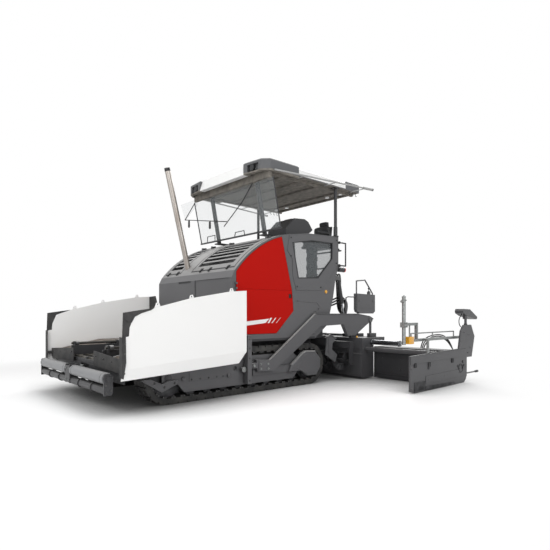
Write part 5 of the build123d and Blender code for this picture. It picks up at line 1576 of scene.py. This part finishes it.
@dataclass
class Studio:
    """Pale floor, soft lamps and the camera."""

    camera_place: Point = (6.984, -5.565, 1.298)
    camera_turn: float = 47.99
    lens_mm: float = 29.59
    shift_up: float = 0.0707
    floor_half: float = 60.0
    lit_centre: Point = (-0.6, -1.1, 0.0)
    lit_radius: float = 4.4
    floor_lift: float = 0.06
    # How far the painted shadow on the floor reaches from the machine.
    contact_reach: float = 1.6
    sky: float = 0.50
    lamps: tuple[Lamp, ...] = (
        Lamp("top_lamp", (1.5, -1.5, 9.5), (0.0, 0.0, 0.5), 8.0, 330.0),
        Lamp("left_lamp", (13.5, -3.0, 5.5), (0.0, -0.3, 1.2), 8.0, 430.0),
        Lamp("hopper_lamp", (3.2, -7.8, 5.5), (-1.5, -2.3, 1.0), 2.0, 90.0),
        Lamp("rear_lamp", (-4.0, 9.5, 7.5), (0.0, -1.0, 0.5), 5.0, 420.0),
        Lamp("front_lamp", (1.0, -11.0, 4.5), (0.0, 0.0, 1.2), 6.0, 140.0))

    @staticmethod
    def seen(tree: Tree) -> Socket:
        """One for a ray from the camera, in a reflection or through glass."""
        rays = add_node(tree, "ShaderNodeLightPath").outputs
        direct = maths(tree, "MAXIMUM", rays["Is Camera Ray"], rays["Is Glossy Ray"])
        return maths(tree, "MAXIMUM", direct, rays["Is Transmission Ray"])

    def floor(self) -> None:
        """Pale floor that shows white to the camera, keeps the object's shadow and has a painted
        shadow darkening it close to the machine.
        """
        half = self.floor_half
        data = bpy.data.meshes.new("studio_floor")
        data.from_pydata([(-half, -half, 0.0), (half, -half, 0.0), (half, half, 0.0),
                          (-half, half, 0.0)], [], [(0, 1, 2, 3)])
        plane = bpy.data.objects.new("studio_floor", data)
        bpy.context.scene.collection.objects.link(plane)
        made = bpy.data.materials.new("pale_studio_floor")
        made.use_nodes = True
        tree = made.node_tree
        tree.nodes.clear()
        seen = self.seen(tree)
        place = add_node(tree, "ShaderNodeTexCoord").outputs["Object"]
        away = add_node(tree, "ShaderNodeVectorMath", {0: place, 1: self.lit_centre},
                        operation="DISTANCE")
        edge = spread(tree, away.outputs["Value"], (self.lit_radius, self.lit_radius * 1.6),
                      (0.0, 1.0), "SMOOTHSTEP")
        # Painted shadow: the floor's colour goes to grey where ambient occlusion finds the machine
        # close above or beside it.
        open_sky = add_node(tree, "ShaderNodeAmbientOcclusion", {"Distance": self.contact_reach},
                            samples=8)
        painted_contact_shadow = ramp(tree, open_sky.outputs["AO"], ((0.08, "#6a6a6a"), (0.84, "#ffffff")))
        matt = add_node(tree, "ShaderNodeBsdfDiffuse", {"Color": painted_contact_shadow})
        lift = add_node(tree, "ShaderNodeEmission",
                        {"Color": painted_contact_shadow,
                         "Strength": maths(tree, "MULTIPLY", seen, self.floor_lift)})
        near = add_node(tree, "ShaderNodeAddShader", {0: matt.outputs["BSDF"],
                                                      1: lift.outputs["Emission"]})
        far = add_node(tree, "ShaderNodeEmission", {"Color": WHITE, "Strength": 1.0})
        both = either(tree, maths(tree, "MULTIPLY", edge, seen), near.outputs["Shader"],
                      far.outputs["Emission"])
        add_node(tree, "ShaderNodeOutputMaterial", {"Surface": both})
        data.materials.append(made)

    def world(self) -> None:
        """White to the camera and in reflections, softer as light."""
        world = bpy.data.worlds.new("studio_world")
        bpy.context.scene.world = world
        world.use_nodes = True
        tree = world.node_tree
        tree.nodes.clear()
        light = add_node(tree, "ShaderNodeBackground", {"Color": WHITE, "Strength": self.sky})
        shown = add_node(tree, "ShaderNodeBackground", {"Color": WHITE, "Strength": 1.0})
        both = either(tree, self.seen(tree), light.outputs["Background"],
                      shown.outputs["Background"])
        add_node(tree, "ShaderNodeOutputWorld", {"Surface": both})

    def camera(self) -> None:
        """Camera at the machine's left front corner, held level."""
        data = bpy.data.cameras.new("studio_camera")
        data.lens = self.lens_mm
        data.sensor_width = 36.0
        data.shift_y = self.shift_up
        data.clip_end = 200.0
        held = bpy.data.objects.new("studio_camera", data)
        held.location = self.camera_place
        held.rotation_euler = (math.pi / 2, 0.0, math.radians(self.camera_turn))
        bpy.context.scene.collection.objects.link(held)
        bpy.context.scene.camera = held

    def run(self) -> None:
        """Builds the studio."""
        bpy.context.scene.view_settings.view_transform = "Standard"
        self.floor()
        self.world()
        for lamp in self.lamps:
            lamp.hang()
        self.camera()


def main() -> None:
    """Builds the sub-assemblies in order, then the studio."""
    Studio().run()
    for assembly in (Undercarriage(), Chassis(), Hopper(), PushBeam(), Body(), OperatorPlace(),
                     Screed()):
        assembly.run()


if __name__ == "__main__":
    main()
